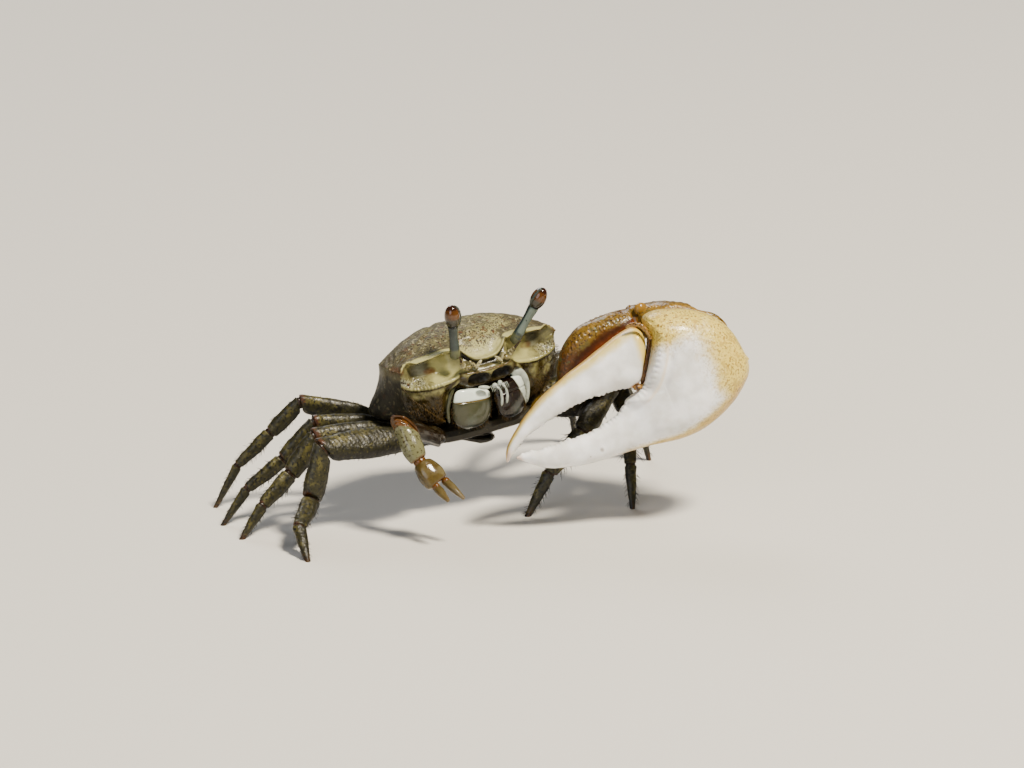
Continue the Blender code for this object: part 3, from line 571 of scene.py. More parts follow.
def add_object(name, data):
    """An object in the scene that holds the data."""
    made = bpy.data.objects.new(name, data)
    bpy.context.scene.collection.objects.link(made)
    return made


def add_piece(name, shapes, material, nodes=(), patches=None):
    """One mesh object from closed shapes, in metres and in place, that stands for the nodes named.

    patches, when given, holds each shape's own map of places from 0 to 1 for the baked colours.
    """
    vertices = np.concatenate([shape[0] for shape in shapes]) + ORIGIN
    starts = np.cumsum([0] + [len(shape[0]) for shape in shapes])[:-1]
    faces = []
    for shape, start in zip(shapes, starts):
        faces += (shape[1] + start).tolist() + (shape[2] + start).tolist()
    mesh = bpy.data.meshes.new(name)
    mesh.from_pydata((vertices * MM).tolist(), [], faces)
    for mask in MASKS:
        values = np.concatenate([shape[3].get(mask, np.zeros(len(shape[0]))) for shape in shapes])
        layer = mesh.attributes.new(mask, "FLOAT", "POINT")
        layer.data.foreach_set("value", values.astype(np.float32))
    if patches is not None:
        corners = np.zeros(len(mesh.loops), np.int32)
        mesh.loops.foreach_get("vertex_index", corners)
        layer = mesh.uv_layers.new(name="OFBake")
        layer.data.foreach_set("uv", np.concatenate(patches)[corners].astype(np.float32).ravel())
    mesh.shade_smooth()
    mesh.materials.append(material)
    piece = add_object(name, mesh)
    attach(piece, "root")
    if nodes:
        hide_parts(*nodes)


def ball(centre, radii, axes=None, sides=12, rings=8, **masks):
    """An ellipsoid: three radii along the axes given as columns."""
    share, angle = grid(rings, sides)
    reach = np.sin(share * math.pi)
    unit = np.stack([reach * np.cos(angle), reach * np.sin(angle), -np.cos(share * math.pi)], -1)
    points = unit * radii
    if axes is not None:
        points = points @ np.array(axes).T
    return closed_grid(points + np.array(centre), **masks)


def in_body(shape, centre=(0, 0, 0)):
    """A closed shape moved to a centre of the body's frame and carried into the crab's frame."""
    return body(shape[0] + np.array(centre)), *shape[1:]


def tube(path, radii, flat=1.0, up=(0, 0, 1), sides=12, **masks):
    """A closed tube along a path: an oval section square to the path, drawn to a point at both ends."""
    path = np.asarray(path, float)
    step = np.gradient(path, axis=0)
    step /= np.linalg.norm(step, axis=1, keepdims=True)
    side = np.cross(step, up)
    side /= np.linalg.norm(side, axis=1, keepdims=True)
    rise = np.cross(side, step)
    angle = angles(sides)
    radii = np.broadcast_to(radii, len(path))[:, None, None]
    section = np.cos(angle)[None, :, None] * side[:, None] + flat * np.sin(angle)[None, :, None] * rise[:, None]
    return closed_grid(path[:, None] + radii * section, **masks)


def curve(points, count):
    """A smooth path through points, evenly spaced by their number."""
    points = np.array(points, float)
    at = np.linspace(0, len(points) - 1, count)
    return np.stack([smooth(at, np.arange(len(points)), values) for values in points.T], -1)


def bristles(roots, directions, lengths, width, places, bend=0.25):
    """Thin three-sided spikes: each bends towards the floor and ends in a point. All are one closed mesh."""
    count = len(roots)
    directions = directions / np.linalg.norm(directions, axis=1, keepdims=True)
    # A hair that points down is shortened so that it stays above the floor
    fall = np.maximum(bend - directions[:, 2], 0.001)
    lengths = np.minimum(lengths, np.maximum(roots[:, 2] + BODY_HEIGHT - 0.05, 0.03) / fall)
    side = np.cross(directions, [0.3, 0.2, 1.0])
    side /= np.linalg.norm(side, axis=1, keepdims=True)
    other = np.cross(side, directions)
    at = np.array([0.0, 0.35, 0.7, 1.0])
    sag = np.array([0, 0, -1.0]) * bend
    middle = roots[:, None] + lengths[:, None, None] * (
        at[None, :, None] * directions[:, None] + (at**2)[None, :, None] * sag
    )
    radius = width / 2 * np.array([1.0, 0.8, 0.5])
    turn = np.array([0, 2, 4]) * math.pi / 3
    section = np.cos(turn)[None, :, None] * side[:, None] + np.sin(turn)[None, :, None] * other[:, None]
    rings = middle[:, :3, None] + radius[None, :, None, None] * section[:, None]
    vertices = np.concatenate([rings.reshape(count, 9, 3), middle[:, 3:]], axis=1)
    quads = [[0, 1, 4, 3], [1, 2, 5, 4], [2, 0, 3, 5], [3, 4, 7, 6], [4, 5, 8, 7], [5, 3, 6, 8]]
    fans = [[6, 7, 9], [7, 8, 9], [8, 6, 9], [2, 1, 0]]
    start = 10 * np.arange(count)[:, None, None]
    quads = (np.array(quads)[None] + start).reshape(-1, 4)
    fans = (np.array(fans)[None] + start).reshape(-1, 3)
    # Each hair's own small patch of the map: three rings and the tip
    ring_place = np.stack([np.cos(turn), np.sin(turn)], -1) * 0.0012
    patch = np.concatenate([ring_place * (1 - 0.25 * r) + [0, 0.0004 * r] for r in range(3)] + [[[0, 0.0014]]])
    patches = np.clip(places[:, None] + patch[None], 0.002, 0.998).reshape(-1, 2)
    return (vertices.reshape(-1, 3), quads, fans, {}), patches


# Materials


def linear(code):
    """Linear red, green and blue of an sRGB hex colour."""
    values = [int(code[i : i + 2], 16) / 255 for i in (1, 3, 5)]
    return tuple(v / 12.92 if v <= 0.04045 else ((v + 0.055) / 1.055) ** 2.4 for v in values)


MASKS = ("pale", "rust", "ochre", "slate", "dark", "grain", "wet")


def add_node(tree, kind, inputs=None, **settings):
    """Adds a node with its settings; each input takes a value or another node's output."""
    made = tree.nodes.new(kind)
    for name, value in settings.items():
        setattr(made, name, value)
    for name, value in (inputs or {}).items():
        if isinstance(value, bpy.types.NodeSocket):
            tree.links.new(value, made.inputs[name])
        else:
            made.inputs[name].default_value = value
    return made


def cuticle(
    name, base, layers, speckles=(), roughness=(0.5, 0.2), coat=0.3, pits=(0.4, 0.04), granules=None, glow=0.0
):
    """Crab cuticle, chitin hardened with lime: a hard skin under a thin film of water.

    The base wanders between a darker and a lighter tone over about 2 mm. A layer is (mask, colour, fraying): the mask,
    frayed by a noise of 0.9 mm, lays its colour over what is below. A speckle is (colour, size in mm, share covered,
    mask or None). The roughness goes from dry to soaked with the wet mask. Pits and granules are (size in mm, height
    in mm) in the bump, and granules show where the grain mask is.
    """
    made = bpy.data.materials.new(name)
    made.use_nodes = True
    tree = made.node_tree
    shader = tree.nodes["Principled BSDF"]
    place = add_node(tree, "ShaderNodeTexCoord").outputs["Object"]
    used = {layer[0] for layer in layers} | {speckle[3] for speckle in speckles if speckle[3]} | {"wet", "grain"}
    masks = {}
    for which in sorted(used):
        masks[which] = add_node(tree, "ShaderNodeAttribute", attribute_name=which).outputs["Fac"]

    broad = add_node(tree, "ShaderNodeTexNoise", {"Vector": place, "Scale": 1 / (2.2 * MM), "Detail": 3.0})
    tone = add_node(tree, "ShaderNodeMapRange", {"Value": broad.outputs["Fac"], "From Min": 0.35, "From Max": 0.65})
    tones = {6: (*(0.78 * c for c in base), 1), 7: (*(min(1.0, 1.12 * c) for c in base), 1)}
    colour = add_node(tree, "ShaderNodeMix", {0: tone.outputs["Result"], **tones}, data_type="RGBA").outputs[2]
    ragged = add_node(tree, "ShaderNodeTexNoise", {"Vector": place, "Scale": 1 / (0.9 * MM), "Detail": 4.0})
    centred = add_node(tree, "ShaderNodeMath", {0: ragged.outputs["Fac"], 1: 0.5}, operation="SUBTRACT").outputs[0]
    for which, over, fraying in layers:
        frayed = add_node(
            tree, "ShaderNodeMath", {0: centred, 1: fraying, 2: masks[which]}, operation="MULTIPLY_ADD"
        ).outputs[0]
        cover = add_node(
            tree,
            "ShaderNodeMapRange",
            {"Value": frayed, "From Min": 0.2, "From Max": 0.8},
            interpolation_type="SMOOTHSTEP",
        ).outputs["Result"]
        colour = add_node(tree, "ShaderNodeMix", {0: cover, 6: colour, 7: (*over, 1)}, data_type="RGBA").outputs[2]
    for over, size, covered, which in speckles:
        cloud = add_node(tree, "ShaderNodeTexNoise", {"Vector": place, "Scale": 1 / (size * MM), "Detail": 2.5})
        spots = add_node(
            tree,
            "ShaderNodeMapRange",
            {"Value": cloud.outputs["Fac"], "From Min": 0.7 - covered, "From Max": 0.82 - covered},
            interpolation_type="SMOOTHSTEP",
        ).outputs["Result"]
        if which:
            spots = add_node(tree, "ShaderNodeMath", {0: spots, 1: masks[which]}, operation="MULTIPLY").outputs[0]
        colour = add_node(tree, "ShaderNodeMix", {0: spots, 6: colour, 7: (*over, 1)}, data_type="RGBA").outputs[2]
    tree.links.new(colour, shader.inputs["Base Color"])

    dry, soaked = roughness
    film = add_node(tree, "ShaderNodeMath", {0: centred, 1: 0.3, 2: dry}, operation="MULTIPLY_ADD").outputs[0]
    rough = add_node(tree, "ShaderNodeMix", {0: masks["wet"], 2: film, 3: soaked}, data_type="FLOAT").outputs[0]
    tree.links.new(rough, shader.inputs["Roughness"])
    shader.inputs["IOR"].default_value = 1.5
    shader.inputs["Specular IOR Level"].default_value = 0.3
    shader.inputs["Coat Weight"].default_value = coat
    shader.inputs["Coat Roughness"].default_value = 0.1
    shader.inputs["Coat IOR"].default_value = 1.33
    if glow:
        shader.inputs["Subsurface Weight"].default_value = glow
        shader.inputs["Subsurface Radius"].default_value = (1.0, 0.6, 0.35)
        shader.inputs["Subsurface Scale"].default_value = 0.0006

    size, depth = pits
    pores = add_node(tree, "ShaderNodeTexNoise", {"Vector": place, "Scale": 1 / (size * MM), "Detail": 4.0})
    normal = add_node(
        tree, "ShaderNodeBump", {"Strength": 1.0, "Distance": depth * MM, "Height": pores.outputs["Fac"]}
    ).outputs[0]
    if granules:
        size, depth = granules
        cells = add_node(tree, "ShaderNodeTexVoronoi", {"Vector": place, "Scale": 1 / (size * MM), "Randomness": 0.9})
        dome = add_node(
            tree, "ShaderNodeMapRange", {"Value": cells.outputs["Distance"], "From Min": 0.6, "From Max": 0.0}
        ).outputs["Result"]
        dome = add_node(tree, "ShaderNodeMath", {0: dome, 1: masks["grain"]}, operation="MULTIPLY").outputs[0]
        bumps = {"Strength": 1.0, "Distance": depth * MM, "Height": dome, "Normal": normal}
        normal = add_node(tree, "ShaderNodeBump", bumps).outputs[0]
    tree.links.new(normal, shader.inputs["Normal"])
    return made


# Settings


def colour(name, description, code):
    """A colour setting, given as an sRGB hex code."""
    return bpy.props.FloatVectorProperty(
        name=name, description=description, subtype="COLOR", size=3, min=0.0, max=1.0, default=linear(code)
    )


def length(name, description, default):
    """A length setting, given in millimetres."""
    return bpy.props.FloatProperty(name=name, description=description, unit="LENGTH", min=0.0, default=default * MM)


class CrabColours(bpy.types.PropertyGroup):
    shell: colour("Shell", "Dry back of the shell", "#504B30")
    shell_pale: colour("Pale shell", "Lobe between the eyes, brows and the outer floor of each orbit", "#A49F66")
    shell_rust: colour("Rust", "Edges of the orbits and patches on the back", "#4E2E12")
    # The cheeks' own olive brown, darkened partly as painted shade
    shell_ochre: colour("Ochre", "Hairy cheeks beside the mouth", "#2E260D")
    # Painted shade: the dark laid on the side walls of the body and on the underside
    shell_shade: colour("Dark sides", "Side walls of the body", "#15130B")
    speckle: colour("Speckles", "Fine dark dots on the back", "#2C241A")
    leg: colour("Leg", "Walking legs", "#282614")
    leg_pale: colour("Leg mottling", "Pale streaks on the walking legs", "#544E26")
    leg_base: colour("Leg base", "Bases of the walking legs", "#4A4015")
    knee: colour("Knee", "Joints of the walking legs", "#43230B")
    ivory: colour("Claw", "Outer face of the large claw", "#FAF8F2")
    cream: colour("Claw cream", "Upper and rear parts of the palm", "#DFC762")
    amber: colour("Claw edges", "Upper edge of the movable finger and worn edges", "#B4700E")
    arm: colour("Claw arm", "Middle segment of the claw's arm", "#54300A")
    arm_olive: colour("Arm top", "Mottled top of the claw's arm", "#6F561C")
    pincer: colour("Pincer", "Hand of the small claw", "#4C3B14")
    plate: colour("Mouth plate", "Lower part of the mouth plates", "#3A3B28")
    stalk: colour("Eyestalk", "Eyestalks", "#2C3634")
    eye: colour("Eye", "Upper part of the corneas", "#553313")
    bristle: colour("Bristles", "Stiff hairs of the legs", "#2A2115")
    fringe: colour("Fringe", "Golden hairs of the cheeks and mouth", "#4E3A12")
    floor: colour("Floor", "Plain floor", "#D8D4CC")


class CrabSizes(bpy.types.PropertyGroup):
    tooth: length("Tooth height", "Height of the low teeth of the large claw", 0.17)
    ridge: length("Ridge height", "Height of the beaded ridge of the palm", 0.36)
    granule: length("Granule spacing", "Distance between the granules of the palm", 0.36)
    rim: length("Rim height", "Height of the rim round the front and the orbits", 0.14)
    leg_bristle: length("Leg bristle length", "Longest bristles of the walking legs", 1.3)
    fringe: length("Fringe length", "Longest hairs of the cheeks", 0.75)


def looks():
    """The scene's colours and sizes."""
    return bpy.context.scene.crab_colours, bpy.context.scene.crab_sizes


# Shell


def ridge_height(off):
    """Height of the ridge under each eye at a distance off from the midline."""
    return smooth(off, *EYE_RIDGE)


def shell_skin(sizes):
    """The shell's form, with rims, grooves, ridges and beads added along its normals."""
    share, angle = grid(*SHELL_GRID)
    form = shell_form(share, angle, SKIN_ORBIT_DEPTH)
    x, y, z = form[..., 0], form[..., 1], form[..., 2]
    off = np.abs(x)
    upper = (np.sin(angle) > 0) & (share >= FACE_SHARE)
    face = share < FACE_SHARE
    along = np.clip((share - FACE_SHARE) / (BARREL_SHARE - FACE_SHARE), 0, 1)
    margin_y, margin_z = front_edge(off)
    behind = np.where(upper, along * (REAR_MARGIN_Y - margin_y), 9.0)
    rim = sizes.rim / MM
    wander = noise(form, 1.2, 7)

    # Rim of the lobe between the eyes: a groove runs behind it and a deeper one below it, which is also painted dark
    # as shade
    lobe = 1 - ramp(off, 2.6, 3.2)
    height = rim * lobe * (bump(behind - 0.25, 0.4) - 0.6 * bump(behind - 0.8, 0.35))
    below_lobe = bump(margin_z - z - 0.55, 0.5) * lobe * face
    height -= 0.3 * below_lobe
    # Beaded upper margin of the orbits and the brow line behind it
    orbit = ramp(off, 2.9, 3.5)
    beads = 0.75 + 0.25 * wave(x, BEAD_SPACING)
    brow = 1.05 * (1 - ramp(off, 7.6, 9.7))
    height += 1.1 * rim * orbit * bump(behind - 0.15, 0.25) * beads
    height -= 0.9 * rim * orbit * bump(behind - brow, 0.16) * (off < 9.4)
    # Grooves and soft swellings of the back, and fine wrinkles that fan out near the corners
    groove = smooth(y, *BACK_GROOVE)
    on_back = np.where(upper, ramp(behind, 1.3, 2.4), 0)
    height += on_back * (-0.2 * bump(off - groove, 0.9) + 0.09 * noise(form, 2.6, 1) + 0.04 * noise(form, 0.7, 2))
    fan = np.arctan2(y - 0.2, 11.5 - off)
    shoulder = np.where(upper, ramp(off, 7.2, 8.8) * (1 - ramp(y, 3.5, 5.0)), 0)
    height += 0.035 * shoulder * np.sin(fan * 34 + 2.5 * wander)
    # Ridge under each eye, with a granular shelf above its outer half
    ridge_z = ridge_height(off)
    ridge = bump(z - ridge_z, 0.35) * ramp(off, 3.0, 3.8) * (1 - ramp(off, 9.6, 10.4)) * face
    height += ridge * (0.2 + 0.09 * ramp(off, 5.0, 6.5) * wave(off, BEAD_SPACING))
    shelf = np.where(face, ramp(z, ridge_z + 0.05, ridge_z + 0.3) * (1 - ramp(z, ridge_z + 0.9, ridge_z + 1.4)), 0)
    shelf = shelf * ramp(off, 6.6, 7.6) * (1 - ramp(off, 10.0, 10.6))
    height += 0.06 * shelf * noise(form, 0.28, 9)
    # Raised frame of the mouth, with its two shallow openings side by side, painted dark as shade
    frame_rise = np.where(face, (1 - ramp(off, 2.7, 4.0)) * bump(z + 2.4, 1.5), 0)
    opening_x, opening_z, half_width, half_height = MOUTH_OPENING
    oval = np.abs((off - opening_x) / half_width) ** 2.4 + np.abs((z - opening_z - 0.04 * wander) / half_height) ** 2.2
    openings = ramp(-oval, -1.2, -0.8) * face
    lips = np.where(face, bump(np.abs(z - opening_z) - 0.72, 0.2) * (1 - ramp(off, 2.6, 3.4)), 0)
    height += 0.55 * frame_rise + 0.12 * lips - 0.75 * openings
    # Side bars of the mouth's frame and the uneven hairy cheek
    bar_off = smooth(z, *MOUTH_BAR)
    bars = np.where(face, bump(off - bar_off, 0.55) * (1 - ramp(z, -2.4, -1.8)) * ramp(z, -7.4, -6.6), 0)
    height += 0.2 * bars
    cheek = np.where(face, (1 - ramp(z, ridge_z - 0.5, ridge_z - 0.15)) * ramp(off, bar_off + 0.3, bar_off + 0.9), 0)
    height += cheek * (0.09 * noise(form, 0.45, 3) + 0.05 * noise(form, 0.22, 13)) + face * 0.03 * noise(form, 0.8, 4)
    wall = ~upper & ~face
    height += wall * (0.07 * noise(form, 1.6, 5) + 0.03 * noise(form, 0.5, 6))

    points = relief(form, height)
    # The outer corners point forward
    points[..., 1] -= 0.45 * ramp(off, 9.3, 10.1) * bump(z - 0.1, 0.7) * (along < 0.12)
    # The brow slopes down to the orbit's upper margin
    sloping = np.where(upper, 1 - ramp(behind, 0.0, 1.2), np.where(face, 1 - ramp(margin_z - z, 0.2, 1.2), 0))
    points[..., 2] -= 0.5 * sloping * orbit * (1 - ramp(off, 7.8, 9.2))

    # Where each colour lies
    edge_z = columns_at(along, SHELL_ROWS)[1]
    corner = ramp(off, 9.0, 9.9) * bump(z - 0.1, 0.9) * (along < 0.2)
    # The side walls below the edge are painted dark as shade
    side = np.where(wall, 1 - ramp(z, edge_z - 1.5 + 0.4 * wander, edge_z - 0.4 + 0.4 * wander), 0)
    # The face behind the mouth plates is painted dark as their shade
    shade_behind_plates = np.where(face, (1 - ramp(off, bar_off - 0.8, bar_off - 0.3)) * (1 - ramp(z, -3.6, -3.1)), 0)
    spot = ((off - 6.2) / 0.75) ** 2 + ((z + 0.75) / 0.45) ** 2
    rust = most(
        orbit * bump(behind - 0.02, 0.16) * (0.2 + 0.6 * ramp(x, 5.5, 7.5)),
        0.6 * corner,
        0.55 * face * bump(spot, 2.4),
        0.55 * lips * (1 - openings),
        on_back * 0.5 * ramp(noise(form, 1.9, 8), 0.3, 0.9) * (1 - shoulder),
    )
    floor = np.where(face, ramp(z, ridge_z - 0.1, ridge_z + 0.2) * (1 - ramp(off, 10.2, 11.0)), 0)
    inner_floor = 1 - ramp(np.abs(off - 4.9), 0.6, 2.2)
    hollow = bump(off - 7.2, 1.9) * ramp(z, ridge_z + 0.9, ridge_z + 1.5)
    below_ridge = 1 - ramp(ridge_z - z, 0.4, 2.2)
    pale = most(
        lobe * (1 - ramp(behind, 1.4, 3.4)) * (0.68 + 0.25 * wander),
        orbit * (1 - ramp(behind, brow, brow + 0.25)),
        shoulder * (0.12 + 0.3 * wander),
        floor * (0.4 + 0.12 * wander + 0.4 * inner_floor + 0.2 * shelf - 0.22 * hollow),
        (1.0 - 0.45 * ramp(off, 5.5, 7.5)) * ridge,
        cheek * np.where(x > 0, 0.44, 0.58 * below_ridge) * (0.85 + 0.3 * wander),
        on_back * (0.4 + 0.2 * noise(form, 2.4, 15)) * (1 - ramp(off, 4.0, 8.0)),
        0.5 * bars * ramp(z, -6.5, -4.5),
        0.6 * frame_rise * (1 - below_lobe) * ramp(z, -2.6, -1.8),
    )
    # The lower and outer cheek is painted darker as shade
    deep = 0.55 * cheek * most(1 - ramp(z, -5.5, -3.0), ramp(off, 8.0, 9.4))
    return closed_grid(
        body(points),
        pale=pale * (1 - openings) * (1 - shade_behind_plates) * (1 - 0.8 * below_lobe),
        rust=rust,
        slate=0.75 * shelf * (0.8 + 0.4 * wander) + 0.55 * hollow * floor,
        ochre=most(cheek, face * (1 - floor) * (1 - pale), 0.58 * shoulder),
        # The dark mask is painted shade: in the mouth's openings, down the side walls, behind the mouth plates, on the
        # lower and outer cheek and in the groove below the lobe
        dark=most(openings, 0.68 * side, shade_behind_plates, deep, 0.75 * below_lobe),
        grain=np.where(upper, ramp(behind, 0.9, 1.8) * (1 - 0.5 * shoulder), most(0.3 * wall, shelf)),
        wet=np.where(face, 0.95 * (1 - openings), np.where(upper, 0.3 * lobe * (behind < 2), 0.3)),
    )


def build_shell():
    """Shell: dry and finely speckled on the back, wet and pale in the orbits, and painted dark down the sides as
    shade.
    """
    look, sizes = looks()
    finish = cuticle(
        "speckled_shell_chitin",
        look.shell,
        (
            ("ochre", look.shell_ochre, 0.5),
            ("pale", look.shell_pale, 0.6),
            ("slate", linear("#777863"), 0.5),
            ("rust", look.shell_rust, 0.8),
            # The dark layer is painted shade
            ("dark", look.shell_shade, 0.4),
        ),
        (
            (linear("#8C8663"), 0.5, 0.15, "grain"),
            (look.shell_rust, 0.6, 0.13, "grain"),
            (look.speckle, 0.2, 0.21, "grain"),
        ),
        roughness=(0.7, 0.16),
        coat=0.08,
        pits=(0.35, 0.05),
        granules=(0.3, 0.05),
    )
    add_piece("shell", [shell_skin(sizes)], finish, ["carapace"])


# Underside


def build_underside():
    """Plates under the body: the same cuticle, painted dark as the body's own shade."""
    look, _ = looks()
    finish = cuticle(
        "underside_chitin",
        # Base darkened as painted shade under the body
        linear("#221E11"),
        (("dark", look.shell_shade, 0.5),),
        ((linear("#14110A"), 0.5, 0.16, None), (linear("#3E381E"), 0.8, 0.12, None)),
        roughness=(0.5, 0.2),
        pits=(0.5, 0.06),
    )
    for node in ("sternum", "abdomen"):
        plate = bpy.data.objects[node]
        plate.data.materials.clear()
        plate.data.materials.append(finish)
    # Soft skin that joins the two plates, painted dark as shade
    skin = ball((0, 5.9, -10.0), (1.8, 4.9, 0.65), None, 40, 24, dark=0.6)
    add_piece("underside_skin", [in_body(skin)], finish)


# Eyes and feelers


def build_eyes():
    """Eyes: a slate stalk with a clear wet skin, and a brown cornea that turns grey towards its dark seam."""
    look, _ = looks()
    stalk_finish = cuticle(
        "eyestalk_chitin",
        look.stalk,
        (("ochre", linear("#54573A"), 0.3), ("dark", linear("#0E0F0A"), 0.2), ("pale", linear("#66736A"), 0.4)),
        ((linear("#303A38"), 0.7, 0.12, None),),
        roughness=(0.35, 0.2),
        coat=0.5,
        pits=(0.5, 0.02),
        glow=0.1,
    )
    eye_finish = cuticle(
        "cornea",
        look.eye,
        (("pale", linear("#343126"), 0.3), ("rust", linear("#2A1408"), 0.3), ("dark", linear("#0D0906"), 0.15)),
        (),
        roughness=(0.1, 0.05),
        coat=1.0,
        pits=(0.25, 0.006),
        glow=0.1,
    )
    for name, reach_of_eye in EYE_REACH.items():
        reach = Vector(reach_of_eye)
        size = reach.length
        seam = size - CORNEA_SHARE_SHOWN * CORNEA_HEIGHT
        placing = frame_of(BODY_TURN @ Vector(EYE_BASE[name]), Vector((0, 1, 0)).cross(reach), reach)
        share, angle = grid(*EYE_GRID)
        at = eased(share)
        stalk_length = seam + CORNEA_WIDTH / 2
        radius = columns_at(at, STALK_ROWS)[0] * (1 - np.abs(2 * at - 1) ** 8) ** 0.5
        z = np.minimum(at * stalk_length, seam - 0.05)
        radius = np.where(at * stalk_length > seam, radius * 0.8, radius)
        form = np.stack([radius * np.cos(angle), radius * np.sin(angle), z], -1)
        form = relief(form, 0.035 * noise(form, 0.9, 11))
        cuff = bump(z - seam + 0.12, 0.22)
        stalk = closed_grid(
            placed(placing, form),
            ochre=1 - ramp(z, 0.7, 1.9),
            pale=(0.95 if name == "left" else 0.3) * ramp(-np.sin(angle), 0.0, 0.8) * ramp(z, 1.0, 2.0),
            dark=0.9 * cuff,
            wet=0.9,
        )
        # Ribbed strip of the stalk's skin that climbs the eye on its inner side
        inner = -1 if name == "left" else 1
        climb = np.linspace(0.2, 0.93, STRIP_STEPS)
        hug = CORNEA_WIDTH / 2 * np.sin(climb * math.pi) + 0.02
        strip = np.stack([inner * hug * 0.93, -hug * 0.36, size - CORNEA_HEIGHT * (1 - eased(climb))], -1)
        ribs = 0.15 * blunt(STRIP_STEPS, 4) * (1 + 0.15 * np.cos(np.arange(STRIP_STEPS) * 2.1))
        strip_tube = tube(placed(placing, strip), ribs, sides=14, ochre=0.35, dark=0.3, wet=0.9)
        add_piece(f"eyestalk_skin_{name}", [stalk, strip_tube], stalk_finish, [f"eyestalk_{name}"])
        radius = CORNEA_WIDTH / 2 * np.sin(share * math.pi)
        z = np.maximum(size - CORNEA_HEIGHT * (1 - eased(share)), seam)
        form = np.stack([radius * np.cos(angle), radius * np.sin(angle), z], -1)
        rise = (z - seam) / (size - seam)
        eye = closed_grid(
            placed(placing, form),
            pale=1 - ramp(rise, 0.22, 0.6),
            rust=ramp(rise, 0.7, 0.95),
            dark=1 - ramp(rise, 0.04, 0.16),
            wet=1,
        )
        add_piece(f"cornea_{name}", [eye], eye_finish, [f"eye_{name}"])


def build_feelers():
    """Feelers: pale pinkish segments with a thin beaded whip, and the folded antennules under the lobe."""
    look, _ = looks()
    finish = cuticle(
        "feeler_chitin",
        linear("#6A6038"),
        (("rust", linear("#3A2410"), 0.5), ("pale", linear("#A9A27A"), 0.4), ("dark", look.shell_shade, 0.2)),
        ((look.speckle, 0.3, 0.14, None),),
        roughness=(0.35, 0.16),
        coat=0.5,
        pits=(0.3, 0.02),
    )
    for side, name in ((-1, "right"), (1, "left")):
        mirror = np.array((side, 1, 1))
        base = np.array(ANTENNA_BASE) * mirror
        reach = np.array(ANTENNA_REACH) * mirror
        long = np.linalg.norm(reach)
        axis = reach / long
        shapes = []
        for start, end, thick in ((0.0, 0.2, 0.38), (0.2, 0.36, 0.3), (0.36, 0.5, 0.24)):
            path = base + axis * long * np.linspace(start, end, 9)[:, None]
            shapes.append(tube(body(path), thick * blunt(9, 6), pale=0.7 - start, rust=0.3, wet=1.0))
        whip = base + axis * long * np.linspace(0.48, 1.0, 24)[:, None]
        radii = np.linspace(0.14, 0.06, 24) * (1 + 0.18 * np.cos(np.arange(24) * math.pi))
        shapes.append(tube(body(whip), radii, sides=8, rust=0.9, wet=0.8))
        for centre, radii, tilt, white in (
            ((1.3, -2.65, -0.78), (0.62, 0.26, 0.2), 0.75, 0.7),
            ((1.95, -2.5, -0.62), (0.6, 0.26, 0.22), -0.9, 0.5),
            ((2.45, -2.35, -0.95), (0.5, 0.3, 0.3), 0.3, 0.3),
        ):
            axes = np.array(Matrix.Rotation(side * tilt, 3, "Y"))
            bead = ball((0, 0, 0), radii, axes, 22, 16, pale=white, wet=1.0)
            shapes.append(in_body(bead, np.array(centre) * mirror))
        add_piece(f"feelers_{name}", shapes, finish, [f"antenna_{name}"])


# Mouth


def plate_placing(side, name):
    """Where a mouth plate hangs: x runs down it, z faces forward."""
    top = Vector((side * PLATE_TOP[0], PLATE_TOP[1] + PLATE_BACK[name], PLATE_TOP[2]))
    edge = Vector((side * PLATE_EDGE_X, top.y, 0))
    swing = Matrix.Rotation(side * PLATE_SWING[name], 4, "Z")
    placing = Matrix.Translation(edge) @ swing @ Matrix.Translation(-edge)
    return BODY @ placing @ frame_of(top, (side * PLATE_SPLAY[name], PLATE_LEAN, -1), (0, -1, -PLATE_LEAN))


